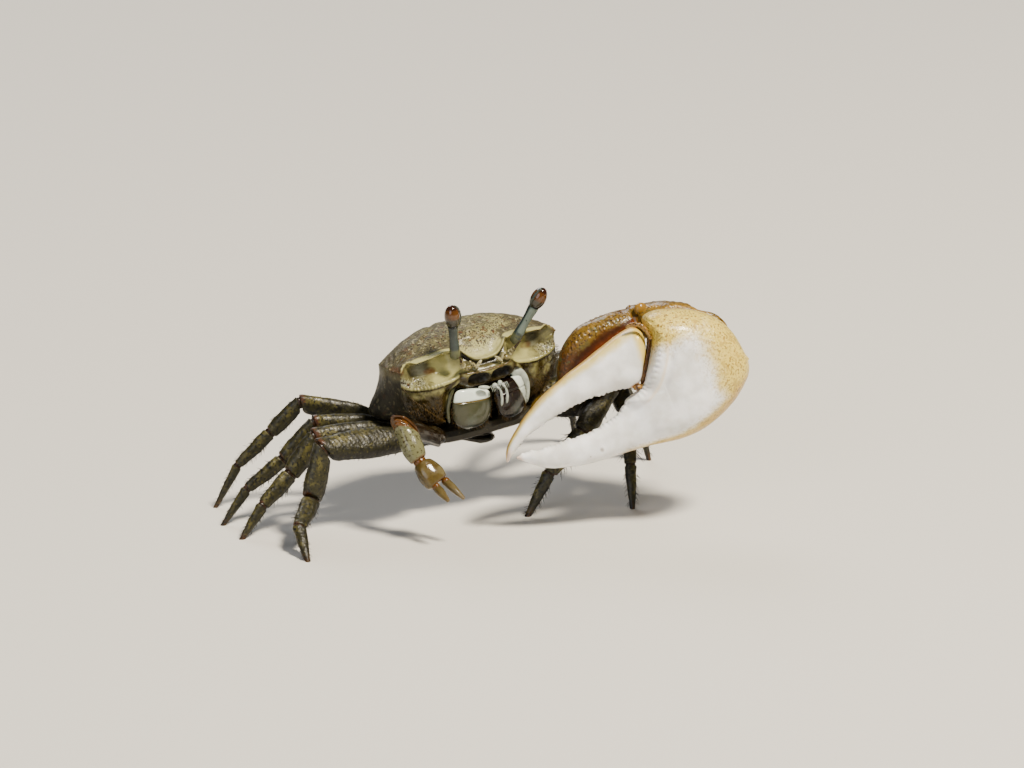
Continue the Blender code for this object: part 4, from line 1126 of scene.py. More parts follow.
def build_mouth():
    """Mouth plates: a white upper part and an olive lower part that meet at a golden seam, with palps between."""
    look, _ = looks()
    finish = cuticle(
        "mouth_plate_chitin",
        look.plate,
        (
            # Dark layer: the left plate's dark, and painted shade on the right plate
            ("dark", linear("#0E0502"), 0.4),
            ("pale", linear("#DCE6DA"), 0.3),
            ("slate", linear("#6B766E"), 0.15),
            ("ochre", linear("#6B5212"), 0.1),
            ("rust", linear("#331606"), 0.5),
        ),
        ((linear("#3A3626"), 0.28, 0.12, "grain"),),
        roughness=(0.4, 0.12),
        coat=0.7,
        pits=(0.4, 0.03),
        glow=0.08,
    )
    fringe = bristle_finish("golden_setae", look.fringe)
    rng = np.random.default_rng(5)
    for side, name in ((-1, "right"), (1, "left")):
        inner = PLATE_INNER_SHARE[name]
        rows = [(x, -side * a * inner, x, side * a, back, front) for x, a, front, back in PLATE_ROWS]
        placing = plate_placing(side, name)
        share, angle = grid(*PLATE_GRID)
        form = outline_form(rows, share * (len(rows) - 1), angle)
        down, outward = form[..., 0], side * form[..., 1]
        seam = down - 1.35 - 0.1 * outward
        front = ramp(np.sin(angle), 0.0, 0.4)
        height = -0.1 * front * bump(seam, 0.13) + 0.03 * noise(form, 0.9, 21)
        height += 0.05 * front * ramp(-seam, 0.0, 0.3)
        form = relief(form, height)
        upper_part = front * (1 - ramp(seam, -0.12, 0.0))
        if name == "left":
            # The left plate is wet and dark but for its outer rim, which narrows downwards
            rim = front * ramp(outward, 0.35 + 0.28 * down, 0.6 + 0.28 * down)
            masks = {"pale": rim * (0.75 - 0.1 * down), "dark": np.clip(1 - rim, 0, 1), "rust": 0.25}
        else:
            # The right plate's lower end and back face are painted dark as shade
            masks = {"pale": upper_part, "dark": 0.75 * ramp(down, 3.4, 4.6) + 0.6 * (1 - front), "rust": 0.0}
            masks["ochre"] = front * 0.85 * bump(seam, 0.13)
        masks["slate"] = front * (0.5 - 0.15 * upper_part) * ramp(noise(form, 1.9, 22), -0.9, 0.9)
        shapes = [closed_grid(placed(placing, form), wet=0.95, grain=0.8 * (1 - upper_part), **masks)]
        # Slender outer branch that lies along the plate
        if name == "left":
            path = ((-0.45, 0.6, 0.1), (-0.2, 1.7, 0.15), (0.9, 2.4, 0.1), (2.3, 2.5, 0.0), (3.9, 2.2, -0.2))
            thick, white = np.linspace(0.62, 0.28, BRANCH_STEPS), 0.5
        else:
            path = ((-0.3, 1.8, -0.2), (0.8, 2.4, 0.0), (2.4, 2.6, -0.1), (4.0, 2.2, -0.3))
            thick, white = 0.24, 0.1
        path = curve(path, BRANCH_STEPS) * (1, side, 1)
        radii = thick * blunt(BRANCH_STEPS, 4)
        shapes.append(tube(placed(placing, path), radii, flat=0.6, up=(0, 1, 0), sides=20, pale=white, wet=0.9))
        add_piece(f"mouth_plate_skin_{name}", shapes, finish, [f"mouth_plate_{name}"])

        # Hairs along the inner and lower edges
        count = PLATE_HAIRS
        at = rng.uniform(0.2, 0.95, count)
        turn = rng.choice([0.0, math.pi], count, p=(0.5, 0.5)) + rng.normal(0, 0.25, count)
        roots = outline_form(rows, at * (len(rows) - 1), turn)
        away = np.stack([0.7 + 0 * at, np.sign(roots[:, 1]) * 0.6, 0.25 + 0 * at], -1)
        spread = away + rng.normal(0, 0.2, (count, 3))
        turned = np.array(placing)[:3, :3]
        hair = rng.uniform(0.2, 0.5, count)
        places = np.stack([turn / 6.3 % 1, at], -1)
        shape, patches = bristles(placed(placing, roots), spread @ turned.T, hair, 0.05, places)
        add_piece(f"mouth_fringe_{name}", [shape], fringe, patches=[patches])

    build_palps(finish)


def build_palps(finish):
    """Rounded white ends of the inner mouthparts, and the two palps that hang between the plates."""
    shapes = []
    for centre, radii, tilt in (
        ((-1.0, -2.5, -3.62), (0.75, 0.32, 0.24), 0.25),
        ((0.3, -2.6, -3.7), (0.32, 0.28, 0.3), 0.0),
        ((1.0, -2.6, -3.55), (0.28, 0.28, 0.3), -0.2),
    ):
        knob = ball((0, 0, 0), radii, np.array(Matrix.Rotation(tilt, 3, "Y")), 26, 18, pale=0.5, wet=1.0)
        shapes.append(in_body(knob, centre))
    for path in (
        [(0.25, -2.85, -3.7), (0.6, -3.15, -4.2), (0.62, -3.3, -5.1), (0.45, -3.25, -6.1)],
        [(1.0, -2.85, -3.6), (1.3, -3.2, -4.15), (1.3, -3.35, -5.0), (1.08, -3.3, -5.95)],
    ):
        line = curve(path, 26)
        radii = np.linspace(0.13, 0.17, 26) * blunt(26, 6)
        radii = radii * (1 - 0.3 * bump(np.linspace(0, 1, 26) - 0.35, 0.08))
        shapes.append(tube(body(line), radii, up=(0, 1, 0), sides=18, pale=0.48, wet=1.0))
    # Brush of stiff white hairs above the palps
    for x in np.linspace(-0.35, 1.75, 12):
        path = curve([(x, -2.7, -3.5), (x + 0.06, -2.95, -3.9), (x + 0.1, -3.05, -4.35)], 7)
        shapes.append(tube(body(path), np.linspace(0.055, 0.015, 7), up=(0, 1, 0), sides=6, pale=0.45, wet=0.8))
    add_piece("palps", shapes, finish)


# Bristles


def bristle_finish(name, base):
    """Setae: stiff hollow hairs of chitin, dark, with a low gloss along them."""
    darker = tuple(c * 0.4 for c in base)
    return cuticle(name, base, (), ((darker, 0.5, 0.2, None),), roughness=(0.4, 0.35), coat=0.1)


def build_fringe():
    """Golden hairs of the cheeks, and the comb of spines down the outer edge of each cheek."""
    look, sizes = looks()
    finish = bristle_finish("cheek_setae", look.fringe)
    rng = np.random.default_rng(9)
    for side, name in ((-1, "right"), (1, "left")):
        share = rng.uniform(0.1, 0.415, CHEEK_HAIRS)
        angle = rng.uniform(-1.4, -0.1, CHEEK_HAIRS)
        angle = np.where(side > 0, angle, -math.pi - angle)
        roots = shell_form(share, angle)
        off, z = np.abs(roots[:, 0]), roots[:, 2]
        kept = (off > smooth(z, *CHEEK_EDGE)) & (off < 9.9) & (z < ridge_height(off) - 0.4) & (z > -7.0)
        roots, share, angle, off = (v[kept] for v in (roots, share, angle, off))
        away = np.stack([side * 0.3 + 0 * off, -1.0 + 0 * off, -1.1 + 0 * off], -1)
        away += rng.normal(0, 0.16, away.shape)
        low = 0.3 + 0.7 * ramp(-z[kept], 3.0, 5.5)
        long = sizes.fringe / MM * rng.uniform(0.35, 0.8, len(off)) * low
        places = np.stack([(angle / (2 * math.pi)) % 1, share], -1)
        shape, patches = bristles(body(roots), body(away), long, 0.045, places)
        # Comb of longer spines from the orbit's outer corner down to the mouth's frame
        at = np.linspace(0, 1, COMB_SPINES)
        comb = np.stack([side * (9.9 - 3.7 * at**1.4), -0.1 - 1.6 * at, -1.7 - 4.6 * at], -1)
        away = np.stack([side * (0.8 - 0.5 * at), -0.7 - 0.2 * at, -0.2 - 0.7 * at], -1)
        away += rng.normal(0, 0.09, away.shape)
        long = np.linspace(0.6, 1.25, COMB_SPINES) * sizes.fringe / MM * rng.uniform(0.75, 1.1, COMB_SPINES)
        long *= 1 if side > 0 else 0.5
        places = np.stack([0.3 + 0.1 * at, 0.2 + 0.2 * at], -1)
        comb_shape, comb_patches = bristles(body(comb), body(away), long, 0.12, places, bend=0.1)
        add_piece(f"cheek_fringe_{name}", [shape, comb_shape], finish, patches=[patches, comb_patches])


# Limbs


def limb_parts(joints, segments, root, end, ups=None):
    """Each segment's name, rows, placing, length and two cutting planes, as the solids have them."""
    names = list(segments)
    directions = [(b - a).normalized() for a, b in zip(joints, joints[1:])]
    mitres = [(a + b).normalized() for a, b in zip(directions, directions[1:])]
    bend_normal = (joints[1] - joints[0]).cross(joints[-1] - joints[1])
    parts = []
    for i, part in enumerate(names):
        along = directions[i]
        if ups:
            x_axis = Vector(ups[i])
        else:
            x_axis = bend_normal.cross(along)
            outward = directions[max(i - 1, 0)] - directions[min(i + 1, len(names) - 1)]
            x_axis = x_axis if x_axis.dot(outward) > 0 else -x_axis
        start = (root[0] + root[1] * GAP, -root[1])
        if i:
            start = (joints[i] + mitres[i - 1] * GAP / 2, -mitres[i - 1])
        finish = end if i == len(names) - 1 else (joints[i + 1] - mitres[i] * GAP / 2, mitres[i])
        long = (joints[i + 1] - joints[i]).length
        parts.append((part, segments[part], frame_of(joints[i], x_axis, along), long, (start, finish)))
    return parts


def segment_form(rows, length, placing, cuts, sides=48, rings=60, bevel=0.25):
    """A limb segment: an oval section, deep in x and thin in y, between two planes, with rounded ends.

    Gives the points in the segment's own frame, how far along it each lies, from 0 to 1, and its angle.
    """
    inverse = placing.inverted()
    planes = [(inverse @ point, inverse.to_3x3() @ normal) for point, normal in cuts]
    turn = np.linspace(0, math.pi / 2, 6)
    end_share = np.concatenate([[0, 0.4, 0.75], np.ones(6)])
    end_inset = bevel * np.concatenate([[1, 1, 1], 1 - np.sin(turn)])
    end_lift = bevel * np.concatenate([[0, 0, 0], 1 - np.cos(turn)])
    share = np.concatenate([end_share, np.ones(rings - 2), end_share[::-1]])[:, None]
    inset = np.concatenate([end_inset, np.zeros(rings - 2), end_inset[::-1]])[:, None]
    lift = np.concatenate([end_lift, np.full(rings - 2, bevel), -end_lift[::-1]])[:, None]
    at = np.concatenate([np.zeros(9), np.linspace(0, 1, rings)[1:-1], np.ones(9)])[:, None]
    angle = angles(sides)[None, :]
    x, y = 0 * at * angle, 0 * at * angle
    for step in range(4):
        low, high = (
            point.z - ((x - point.x) * normal.x + (y - point.y) * normal.y) / normal.z for point, normal in planes
        )
        z = low + lift + np.where(at < 1, at * (high - low - 2 * bevel), high - low)
        if step == 3:
            break
        above, below, thick = columns_at(np.clip(z / length, 0, 1), rows)
        x = np.where(np.cos(angle) > 0, above, below) * power(np.cos(angle), 0.9)
        y = thick * power(np.sin(angle), 0.9)
        scale = share * np.clip(1 - inset / np.maximum(np.hypot(x, y), 1e-6), 0.05, 1)
        x, y = x * scale, y * scale
    return np.stack([x, y, z], -1), (z - low) / (high - low), np.broadcast_to(angle, z.shape)


def joint_ball(joints, i, row, x_axis, size=0.86, **masks):
    """Soft membrane that shows in the gap between two segments; the row is the second one's first."""
    before, after = (joints[i] - joints[i - 1]).normalized(), (joints[i + 1] - joints[i]).normalized()
    across = (after + before).normalized()
    x_axis = (x_axis - x_axis.dot(across) * across).normalized()
    axes = np.array([x_axis, across.cross(x_axis), across]).T
    _, above, below, thick = row
    centre = joints[i] + x_axis * (above - below) / 2
    radii = (size * (above + below) / 2, size * thick, 0.75 * thick)
    return ball(centre, radii, axes, 28, 16, wet=0.9, **masks)


def limb_joints(points):
    """The joints as vectors: the hip, given in the body's frame, and the rest in the crab's."""
    return [BODY_TURN @ Vector((*points[0], HIP_Z))] + [Vector(p) for p in points[1:]]


def root_plane(side):
    """Point and outward normal of the sternum's side, where the limbs start."""
    point = BODY_TURN @ Vector((side * STERNUM_HALF_WIDTH, 0, HIP_Z))
    return point, (BODY_TURN @ Vector((side, STERNUM_TAPER, 0))).normalized()


def coxa(side, y, towards, size=1.0, dark=0.0):
    """Rounded base of a limb against the body's side, which lies along the limb."""
    centre = BODY_TURN @ Vector((side * 7.2, y, -8.0))
    axes = np.array(frame_of((0, 0, 0), (0, 0, 1), towards))[:3, :3]
    return ball(centre, (1.15 * size, 1.1 * size, 2.0 * size), axes, 32, 22, ochre=1.0, dark=dark, wet=0.8)


def leg_surface(part, i, form, along, angle, long):
    """Heights of a leg segment's relief and its masks: fine bumps, mottling, an underside painted dark as shade and a
    brown joint.
    """
    facing, broad = np.cos(angle), np.abs(np.sin(angle))
    height = 0.05 * noise(form, 0.8, 60 + i) + 0.03 * noise(form, 0.35, 70 + i)
    mottle = form * (1, 1, 0.7)
    streak = noise(mottle, 0.9, 90 + i) + 0.5 * noise(mottle, 0.4, 95 + i)
    pale = np.clip(0.34 + 0.5 * streak, 0, 1) * ramp(facing, -0.5, 0.6)
    rust = 0.7 * bump(along - 1, 0.1) * ramp(facing, 0.0, 0.8)
    base = 0.0
    if part == "merus":
        # Low cross ridges on the broad faces and a swollen rim at the knee
        stripes = np.sin(along * long * 2 * math.pi / LEG_STRIPE_SPACING + 2.4 * noise(form, 1.5, 80))
        height += 0.018 * stripes * broad + 0.07 * bump(along - 0.95, 0.05)
        pale = pale + 0.16 * ramp(stripes, 0.2, 0.9) * broad * (1 - ramp(along, 0.8, 0.95))
        rust = 0.85 * bump(along - 1, 0.09) * ramp(facing, -0.2, 0.5)
        base = 1 - ramp(along, 0.08, 0.22)
    elif part == "dactyl":
        rust = 0.55 * ramp(along, 0.5, 1.0)
    else:
        # A shallow groove along each broad face
        height -= 0.08 * bump(np.abs(angle) - math.pi / 2, 0.35) * bump(along - 0.5, 0.45)
    ends = ramp(along, 0.0, 0.06) * (1 - ramp(along, 0.94, 1.0) * (part == "dactyl"))
    # The dark mask is painted shade on the underside, and the pale streaks fade out towards it
    return height * ends, {"pale": pale, "rust": rust, "ochre": base, "dark": 0.7 * ramp(-facing, 0.2, 0.9)}


def leg_hairs(rng, part, i, form, along, placing, longest):
    """Bristles in rows along the upper and lower edges of a leg segment, and their places in the map."""
    _, _, count, reach = LEG_DRAWN[part]
    # None stand on the rings that round off the ends
    row = rng.integers(14, form.shape[0] - 12, count)
    edge = rng.choice([0.0, math.pi], count) + rng.normal(0, 0.3, count)
    column = ((edge + math.pi) / (2 * math.pi) * LEG_SIDES).astype(int) % LEG_SIDES
    outward = (relief(form, np.ones(form.shape[:2])) - form)[row, column]
    away = outward + np.array([0, 0, 0.9]) + rng.normal(0, 0.2, (count, 3))
    lengths = longest * reach * rng.uniform(0.35, 1.0, count)
    places = np.stack([(edge / (2 * math.pi)) % 1, (i + along[row, column]) / len(LEG_DRAWN)], -1)
    away = away @ np.array(placing)[:3, :3].T
    return bristles(placed(placing, form[row, column]), away, lengths, 0.06, places, bend=0.1)


def build_walking_legs():
    """Walking legs: dark mottled segments with brown joints, yellow bases and stiff bristles along their edges."""
    look, sizes = looks()
    finish = cuticle(
        "leg_chitin",
        look.leg,
        (
            ("pale", look.leg_pale, 1.2),
            ("rust", look.knee, 0.6),
            ("ochre", look.leg_base, 0.6),
            # The dark layer is painted shade on the undersides, and darkens the joints' membranes
            ("dark", linear("#0D0C08"), 0.5),
        ),
        ((linear("#12110C"), 0.3, 0.2, None), (look.leg_pale, 0.4, 0.1, "grain")),
        roughness=(0.55, 0.3),
        coat=0.12,
        pits=(0.3, 0.05),
        granules=(0.34, 0.05),
    )
    hair = bristle_finish("leg_setae", look.bristle)
    floor = (Vector((0, 0, -BODY_HEIGHT)), Vector((0, 0, -1)))
    for order, (name, points) in enumerate(LEG_JOINTS.items()):
        scale = LEG_SCALE[int(name[-1]) - 1]
        side = 1 if "left" in name else -1
        longest = sizes.leg_bristle / MM * (1.0 if side > 0 else 0.6)
        joints = limb_joints((*points[:-1], (*points[-1], -BODY_HEIGHT)))
        segments = {
            part: [(row[0], *(scale * v for v in row[1:])) for row in rows] for part, rows in LEG_SEGMENTS.items()
        }
        rng = np.random.default_rng(40 + order)
        shapes = [coxa(side, points[0][1], joints[1] - joints[0], 0.8 + 0.2 * scale)]
        hairs, patches = [], []
        parts = limb_parts(joints, segments, root_plane(side), floor)
        for i, (part, rows, placing, long, cuts) in enumerate(parts):
            bevel, rings, _, _ = LEG_DRAWN[part]
            form, along, angle = segment_form(rows, long, placing, cuts, LEG_SIDES, rings, bevel)
            height, masks = leg_surface(part, i, form, along, angle, long)
            shapes.append(closed_grid(placed(placing, relief(form, height)), grain=0.6, wet=0.5, **masks))
            if i:
                shapes.append(joint_ball(joints, i, rows[0], placing.to_3x3().col[0], rust=0.6, dark=0.5))
            shape, patch = leg_hairs(rng, part, i, form, along, placing, longest)
            hairs.append(shape)
            patches.append(patch)
        add_piece(f"{name}_skin", shapes, finish, [f"{name}_{part}" for part in LEG_SEGMENTS])
        add_piece(f"{name}_bristles", hairs, hair, patches=patches)


def build_claw_arm():
    """Arm of the large claw: red-brown and polished in front, darker there partly as painted shade, mottled olive
    above, with rows of tubercles whose tops are painted pale as highlights.
    """
    look, _ = looks()
    finish = cuticle(
        "arm_chitin",
        look.arm,
        (
            # Dark layer: the front's red-brown deepened as painted shade, and darker membranes
            ("dark", linear("#341605"), 0.5),
            ("ochre", look.arm_olive, 0.7),
            ("pale", linear("#92702A"), 0.6),
            ("rust", linear("#6E3208"), 0.5),
        ),
        ((linear("#3A2712"), 0.3, 0.18, "grain"), (linear("#54502C"), 0.9, 0.14, "grain")),
        roughness=(0.45, 0.2),
        coat=0.3,
        pits=(0.4, 0.05),
        granules=(0.36, 0.06),
    )
    inward = Vector(CLAW_INWARD).normalized()
    palm_back = Vector(CLAW_HINGE) + inward * (max(row[4] for row in PALM_ROWS) + GAP)
    joints = limb_joints(CLAW_ARM_JOINTS)
    parts = limb_parts(joints, CLAW_ARM_SEGMENTS, root_plane(1), (palm_back, -inward), CLAW_ARM_UPS)
    shapes = [coxa(1, CLAW_ARM_JOINTS[0][1], joints[1] - joints[0], 1.15)]
    for i, (part, rows, placing, long, cuts) in enumerate(parts):
        bevel, rings = ARM_DRAWN[part]
        form, along, angle = segment_form(rows, long, placing, cuts, ARM_SIDES, rings, bevel)
        facing, front = np.cos(angle), np.sin(angle)
        height = 0.1 * noise(form, 1.4, 101 + i) + 0.03 * noise(form, 0.5, 110 + i)
        # Rows of tubercles along the two upper edges, which shine; on the merus their tops are also painted pale as
        # highlights
        spaced = np.cos(2 * math.pi * along * long / 0.6 + noise(form, 1.5, 125)) * 0.5 + 0.5
        rows_of_beads = most(bump(angle - 0.5, 0.13), bump(angle + 0.5, 0.13)) * bump(along - 0.5, 0.5)
        height += 0.15 * rows_of_beads * spaced * (part != "ischium")
        spots = noise(form, 1.1, 120 + i)
        top = ramp(facing, 0.5, 0.85)
        rear = ramp(-front, 0.0, 0.6) * (1 - top)
        if part == "merus":
            masks = {
                "ochre": most(top * (0.8 + 0.5 * spots), 0.55 * rear) * (0.3 + 0.7 * ramp(along, 0.15, 0.5)),
                # Front face: its own red-brown, darkened further as painted shade
                "dark": 0.85 * ramp(front, 0.0, 0.6) * (1 - top) * ramp(facing, -0.9, -0.2),
                # Pale on the tubercles' tops is a painted highlight
                "pale": 0.4 * top * ramp(noise(form, 0.8, 131), 0.0, 0.6) + 0.5 * rows_of_beads * spaced,
                "rust": 0.7 * bump(facing - 0.3, 0.45) + 0.4 * bump(along - 1, 0.08),
                "grain": top,
            }
        elif part == "carpus":
            masks = {
                "ochre": np.clip(0.85 + 0.3 * spots, 0, 1),
                "pale": 0.75 * ramp(noise(form, 1.6, 130), -0.5, 0.4) * ramp(facing, -0.5, 0.4),
                "rust": most(0.8 * bump(along, 0.12), 0.6 * ramp(-facing, 0.2, 0.8)),
                "grain": 0.8,
            }
        else:
            # The ischium is darkened, most on its underside, as painted shade under the body
            masks = {"ochre": 0.35, "dark": 0.35 + 0.3 * ramp(-facing, 0.0, 0.8), "grain": 0.3}
        shapes.append(closed_grid(placed(placing, relief(form, height)), wet=0.6, **masks))
        if i:
            shapes.append(joint_ball(joints, i, rows[0], placing.to_3x3().col[0], size=1.0, ochre=0.5, dark=0.35))
    # Membrane where the arm's axis meets the back of the palm
    along_arm = (joints[3] - joints[2]).normalized()
    meeting = joints[2] + along_arm * ((palm_back - joints[2]).dot(inward) / along_arm.dot(inward))
    axes = np.array(frame_of((0, 0, 0), along_arm, inward))[:3, :3]
    shapes.append(ball(meeting, (2.4, 1.6, 0.8), axes, 28, 16, rust=0.5, dark=0.4, wet=0.9))
    # Pinkish knob of the hinge between the merus and the carpus
    knob = joints[2] + Vector((-0.4, -1.2, 1.9))
    shapes.append(ball(knob, (0.8, 0.6, 0.75), None, 28, 20, pale=0.7, rust=0.35, wet=0.9))
    add_piece("claw_arm_skin", shapes, finish, ["claw_ischium", "claw_merus", "claw_carpus"])


def build_pincer():
    """Small claw: a brown upper arm darkened as painted shade, an olive wrist and a golden cream hand with slender
    golden fingers.
    """
    look, _ = looks()
    finish = cuticle(
        "pincer_chitin",
        look.pincer,
        (
            ("ochre", linear("#6A694A"), 0.4),
            # Dark layer: painted shade on the upper arm and the base
            ("dark", linear("#1C1409"), 0.5),
            ("rust", linear("#5A3610"), 0.5),
            ("pale", linear("#665C3C"), 0.5),
        ),
        ((linear("#3E3620"), 0.25, 0.17, "grain"),),
        roughness=(0.4, 0.14),
        coat=0.5,
        pits=(0.4, 0.03),
        glow=0.1,
    )
    joints = limb_joints(PINCER_JOINTS)
    base, along_hand = joints[-1], (joints[-1] - joints[-2]).normalized()
    parts = limb_parts(joints, PINCER_SEGMENTS, root_plane(-1), (base, along_hand), [PINCER_ACROSS] * 3)
    for name, (start, tip) in PINCER_FINGERS.items():
        reach = Vector(tip) - Vector(start)
        cuts = ((base + along_hand * GAP, -along_hand), (Vector(tip), reach.normalized()))
        parts.append((name, PINCER_FINGER_ROWS, frame_of(start, PINCER_ACROSS, reach), reach.length, cuts))
    # The base is painted dark as shade
    shapes = [coxa(-1, PINCER_JOINTS[0][1], joints[1] - joints[0], 0.9, dark=0.75)]
    for i, (part, rows, placing, long, cuts) in enumerate(parts):
        rings, sides = PINCER_GRID
        form, along, angle = segment_form(rows, long, placing, cuts, sides, rings, PINCER_BEVELS[part])
        height = 0.04 * noise(form, 0.9, 140 + i)
        ends = most(bump(along, 0.1), bump(along - 1, 0.1))
        if part == "merus":
            height += 0.12 * bump(along - 0.95, 0.06) * (0.7 + 0.3 * np.cos(6 * angle))
            # The upper arm is painted dark as shade
            masks = {"dark": 0.9, "rust": 0.55 * bump(along - 1, 0.16)}
        elif part == "carpus":
            # Its upper end is a wrinkled rusty collar
            collar = 1 - ramp(along, 0.16, 0.26)
            height += 0.05 * collar * np.cos(along * 90 + 2 * noise(form, 1.0, 152)) + 0.1 * bump(along - 0.2, 0.08)
            masks = {"ochre": 0.95, "rust": most(0.7 * ends, 0.85 * collar), "grain": 1.0}
        elif part == "hand":
            cream = 0.75 * ramp(noise(form, 1.2, 150), -0.5, 0.5)
            masks = {"ochre": 0.3, "rust": 0.6 * ends, "pale": cream, "grain": 0.5}
        else:
            masks = {"rust": 0.75 * bump(along, 0.12) + 0.45 * ramp(along, 0.5, 1.0), "pale": 0.45, "ochre": 0.2}
        shapes.append(closed_grid(placed(placing, relief(form, height)), wet=0.9, **masks))
        if 0 < i < 3:
            shapes.append(joint_ball(joints, i, rows[0], placing.to_3x3().col[0], rust=0.8))
        if part in PINCER_FINGERS:
            root = placing.translation - along_hand * 0.05
            shapes.append(ball(root, (0.5, 0.5, 0.5), None, 20, 14, rust=0.7, wet=0.9))
    nodes = [f"pincer_{part}" for part in PINCER_BEVELS]
    add_piece("pincer_skin", shapes, finish, nodes)


# Large claw


def edge_path(rows, columns, at):
    """One edge of a chord table, at places in the table."""
    index = np.arange(len(rows))
    return np.stack([smooth(at, index, np.array(rows)[:, c]) for c in columns], -1)


def edge_rows(rows, columns, count):
    """Places in a chord table that are evenly spaced along one of its edges."""
    fine = np.linspace(0, len(rows) - 1, 3000)
    walked = walked_along(edge_path(rows, columns, fine))
    return np.interp(np.linspace(0, walked[-1], count), walked, fine)


def tooth_heights(rows, columns, stretch, at, height, seed):
    """Low rounded teeth at uneven steps along an edge, a few of them larger, as heights at places in the table."""
    first, last, larger = stretch
    fine = np.linspace(first, last, 1200)
    path = edge_path(rows, columns, fine)
    walked = walked_along(path)
    here = np.interp(at, fine, walked, left=-9, right=-9)
    rng = np.random.default_rng(seed)
    total = np.zeros_like(at)
    for place in np.arange(0, walked[-1], TOOTH_SPACING):
        place = place + rng.uniform(-0.12, 0.12)
        size = rng.uniform(0.45, 1.2)
        p = np.interp(place, walked, path[:, 0])
        for larger_p, larger_size in larger:
            if abs(p - larger_p) < TOOTH_SPACING / 2:
                size = larger_size
        total = np.maximum(total, height * size * bump(here - place, 0.34 * size**0.5))
    return total


def distance_to(path, points):
    """Distance from points to a path in the claw's plane, and how far along the path the nearest place is."""
    walked = walked_along(path)
    far, at = [], []
    for part in np.array_split(points, 40):
        squares = ((part[..., None, :] - path) ** 2).sum(-1)
        far.append(np.sqrt(squares.min(-1)))
        at.append(walked[squares.argmin(-1)])
    return np.concatenate(far), np.concatenate(at)


def palm_form(rows, at, angle):
    """The palm as a pillow: its depth rises from the whole edge to a broad nearly flat face."""
    form = outline_form(rows, at, angle)
    upper = form[:, angle.shape[1] // 2, :2]
    socket = ((at > PALM_SOCKET[0]) & (at < PALM_SOCKET[1])).ravel()
    edges = np.concatenate([upper[~socket], form[::-1, 0, :2]])
    inset = distance_to(edges, form[..., :2])[0]
    inset = np.minimum(inset, SOCKET_STEEPNESS * distance_to(upper[socket], form[..., :2])[0])
    deep, reach = columns_at(form[..., 0], PALM_PILLOW)
    share = np.minimum(inset / reach, 1)
    rise = (1 - (1 - share) ** PILLOW_FULLNESS) ** (1 / PILLOW_FULLNESS)
    outer = np.sin(angle) < 0
    form[..., 2] = np.where(outer, -deep, PILLOW_INNER_SHARE * deep) * rise
    return form


def build_palm(finish, sizes):
    """Palm and fixed finger, with teeth, a beaded ridge and shallow dimples; cream and granular above and behind."""
    rows = [(a, b, c, d, outside, inside) for a, b, c, d, inside, outside in PALM_ROWS]
    places, sides = PALM_GRID
    at = edge_rows(rows, (0, 1), places)
    angle = angles(sides)[None, :]
    form = palm_form(rows, at[:, None], angle)
    # The heel's sections lie almost along its outline, so the form is evened out there
    form = evened(form, 1 - ramp(at[:, None, None], 2.0, 5.0), 160)
    p, q = form[..., 0], form[..., 1]
    outer = ramp(-np.sin(angle), 0.0, 0.3) * np.ones_like(p)
    lower = -np.cos(angle) * np.ones_like(p)
    teeth = tooth_heights(rows, (0, 1), PALM_TEETH, at, sizes.tooth / MM, 3)
    height = teeth[:, None] * np.clip(np.cos(angle), 0, 1) ** TOOTH_SHARPNESS
    far, walked = distance_to(curve(PALM_RIDGE, 120), form[..., :2])
    fade = ramp(walked, 0.0, 0.8) * (1 - ramp(walked, 6.5, 9.0))
    ridge = outer * bump(far, 0.8) * (0.45 + 0.55 * fade)
    beads = bump(far, 0.42) * fade * (0.5 + 0.5 * wave(walked, RIDGE_BEAD_SPACING))
    height += sizes.ridge / MM * ridge + 0.12 * outer * beads
    # A groove runs beside the ridge, and dimples lie in the middle of the outer face
    height -= 0.16 * outer * bump(far - 1.15, 0.6) * fade * (q > -4.6)
    height += 0.06 * noise(form, 2.2, 201) + 0.015 * noise(form, 0.8, 202)
    height -= 0.05 * outer * ramp(noise(form, 1.6, 203), 0.1, 0.8) * (p < 0)
    cloudy = noise(form, 2.0, 204)
    upper_rear = most(ramp(q + 0.6 * cloudy, -1.8, 2.4), 0.8 * ramp(-p + 0.6 * cloudy, 3.0, 8.0))
    # A tan and brown band along the lower rear edge is painted shade
    shaded_lower_rear = ramp(lower + 0.06 * cloudy, 0.45, 0.96) * ramp(-p, -12, 0)
    spots = most(*(outer * bump(np.hypot(p - at_p, q - at_q), 1.7 * radius) for at_p, at_q, radius in PALM_SPOTS))
    # The lowest edge is painted darker as shade
    shaded_low_edge = ramp(lower, 0.94, 1.0) * ramp(-p, -6, -1)
    socket = 0.3 * bump(q - 3.6, 1.2) * ramp(-p, -1, 1) * (1 - ramp(-p, 5, 8))
    palm = closed_grid(
        placed(CLAW, relief(form, height * ramp(at[:, None], 0.5, 3.5))),
        ochre=most(upper_rear, 0.9 * shaded_lower_rear, 0.75 * (1 - outer) * ramp(-p, -8, 2)),
        rust=most(0.5 * shaded_lower_rear, 0.5 * ramp(p, 16.8, 18.0), 0.35 * spots, socket),
        # Cream on the ridge's flanks is painted shade
        pale=0.5 * outer * bump(far - 0.7, 0.4) * fade,
        dark=most(0.36 * shaded_low_edge, 0.5 * spots),
        grain=most(upper_rear, 0.7 * shaded_lower_rear),
        wet=0.5,
    )
    add_piece("claw_palm_skin", [palm], finish, ["claw_palm"])


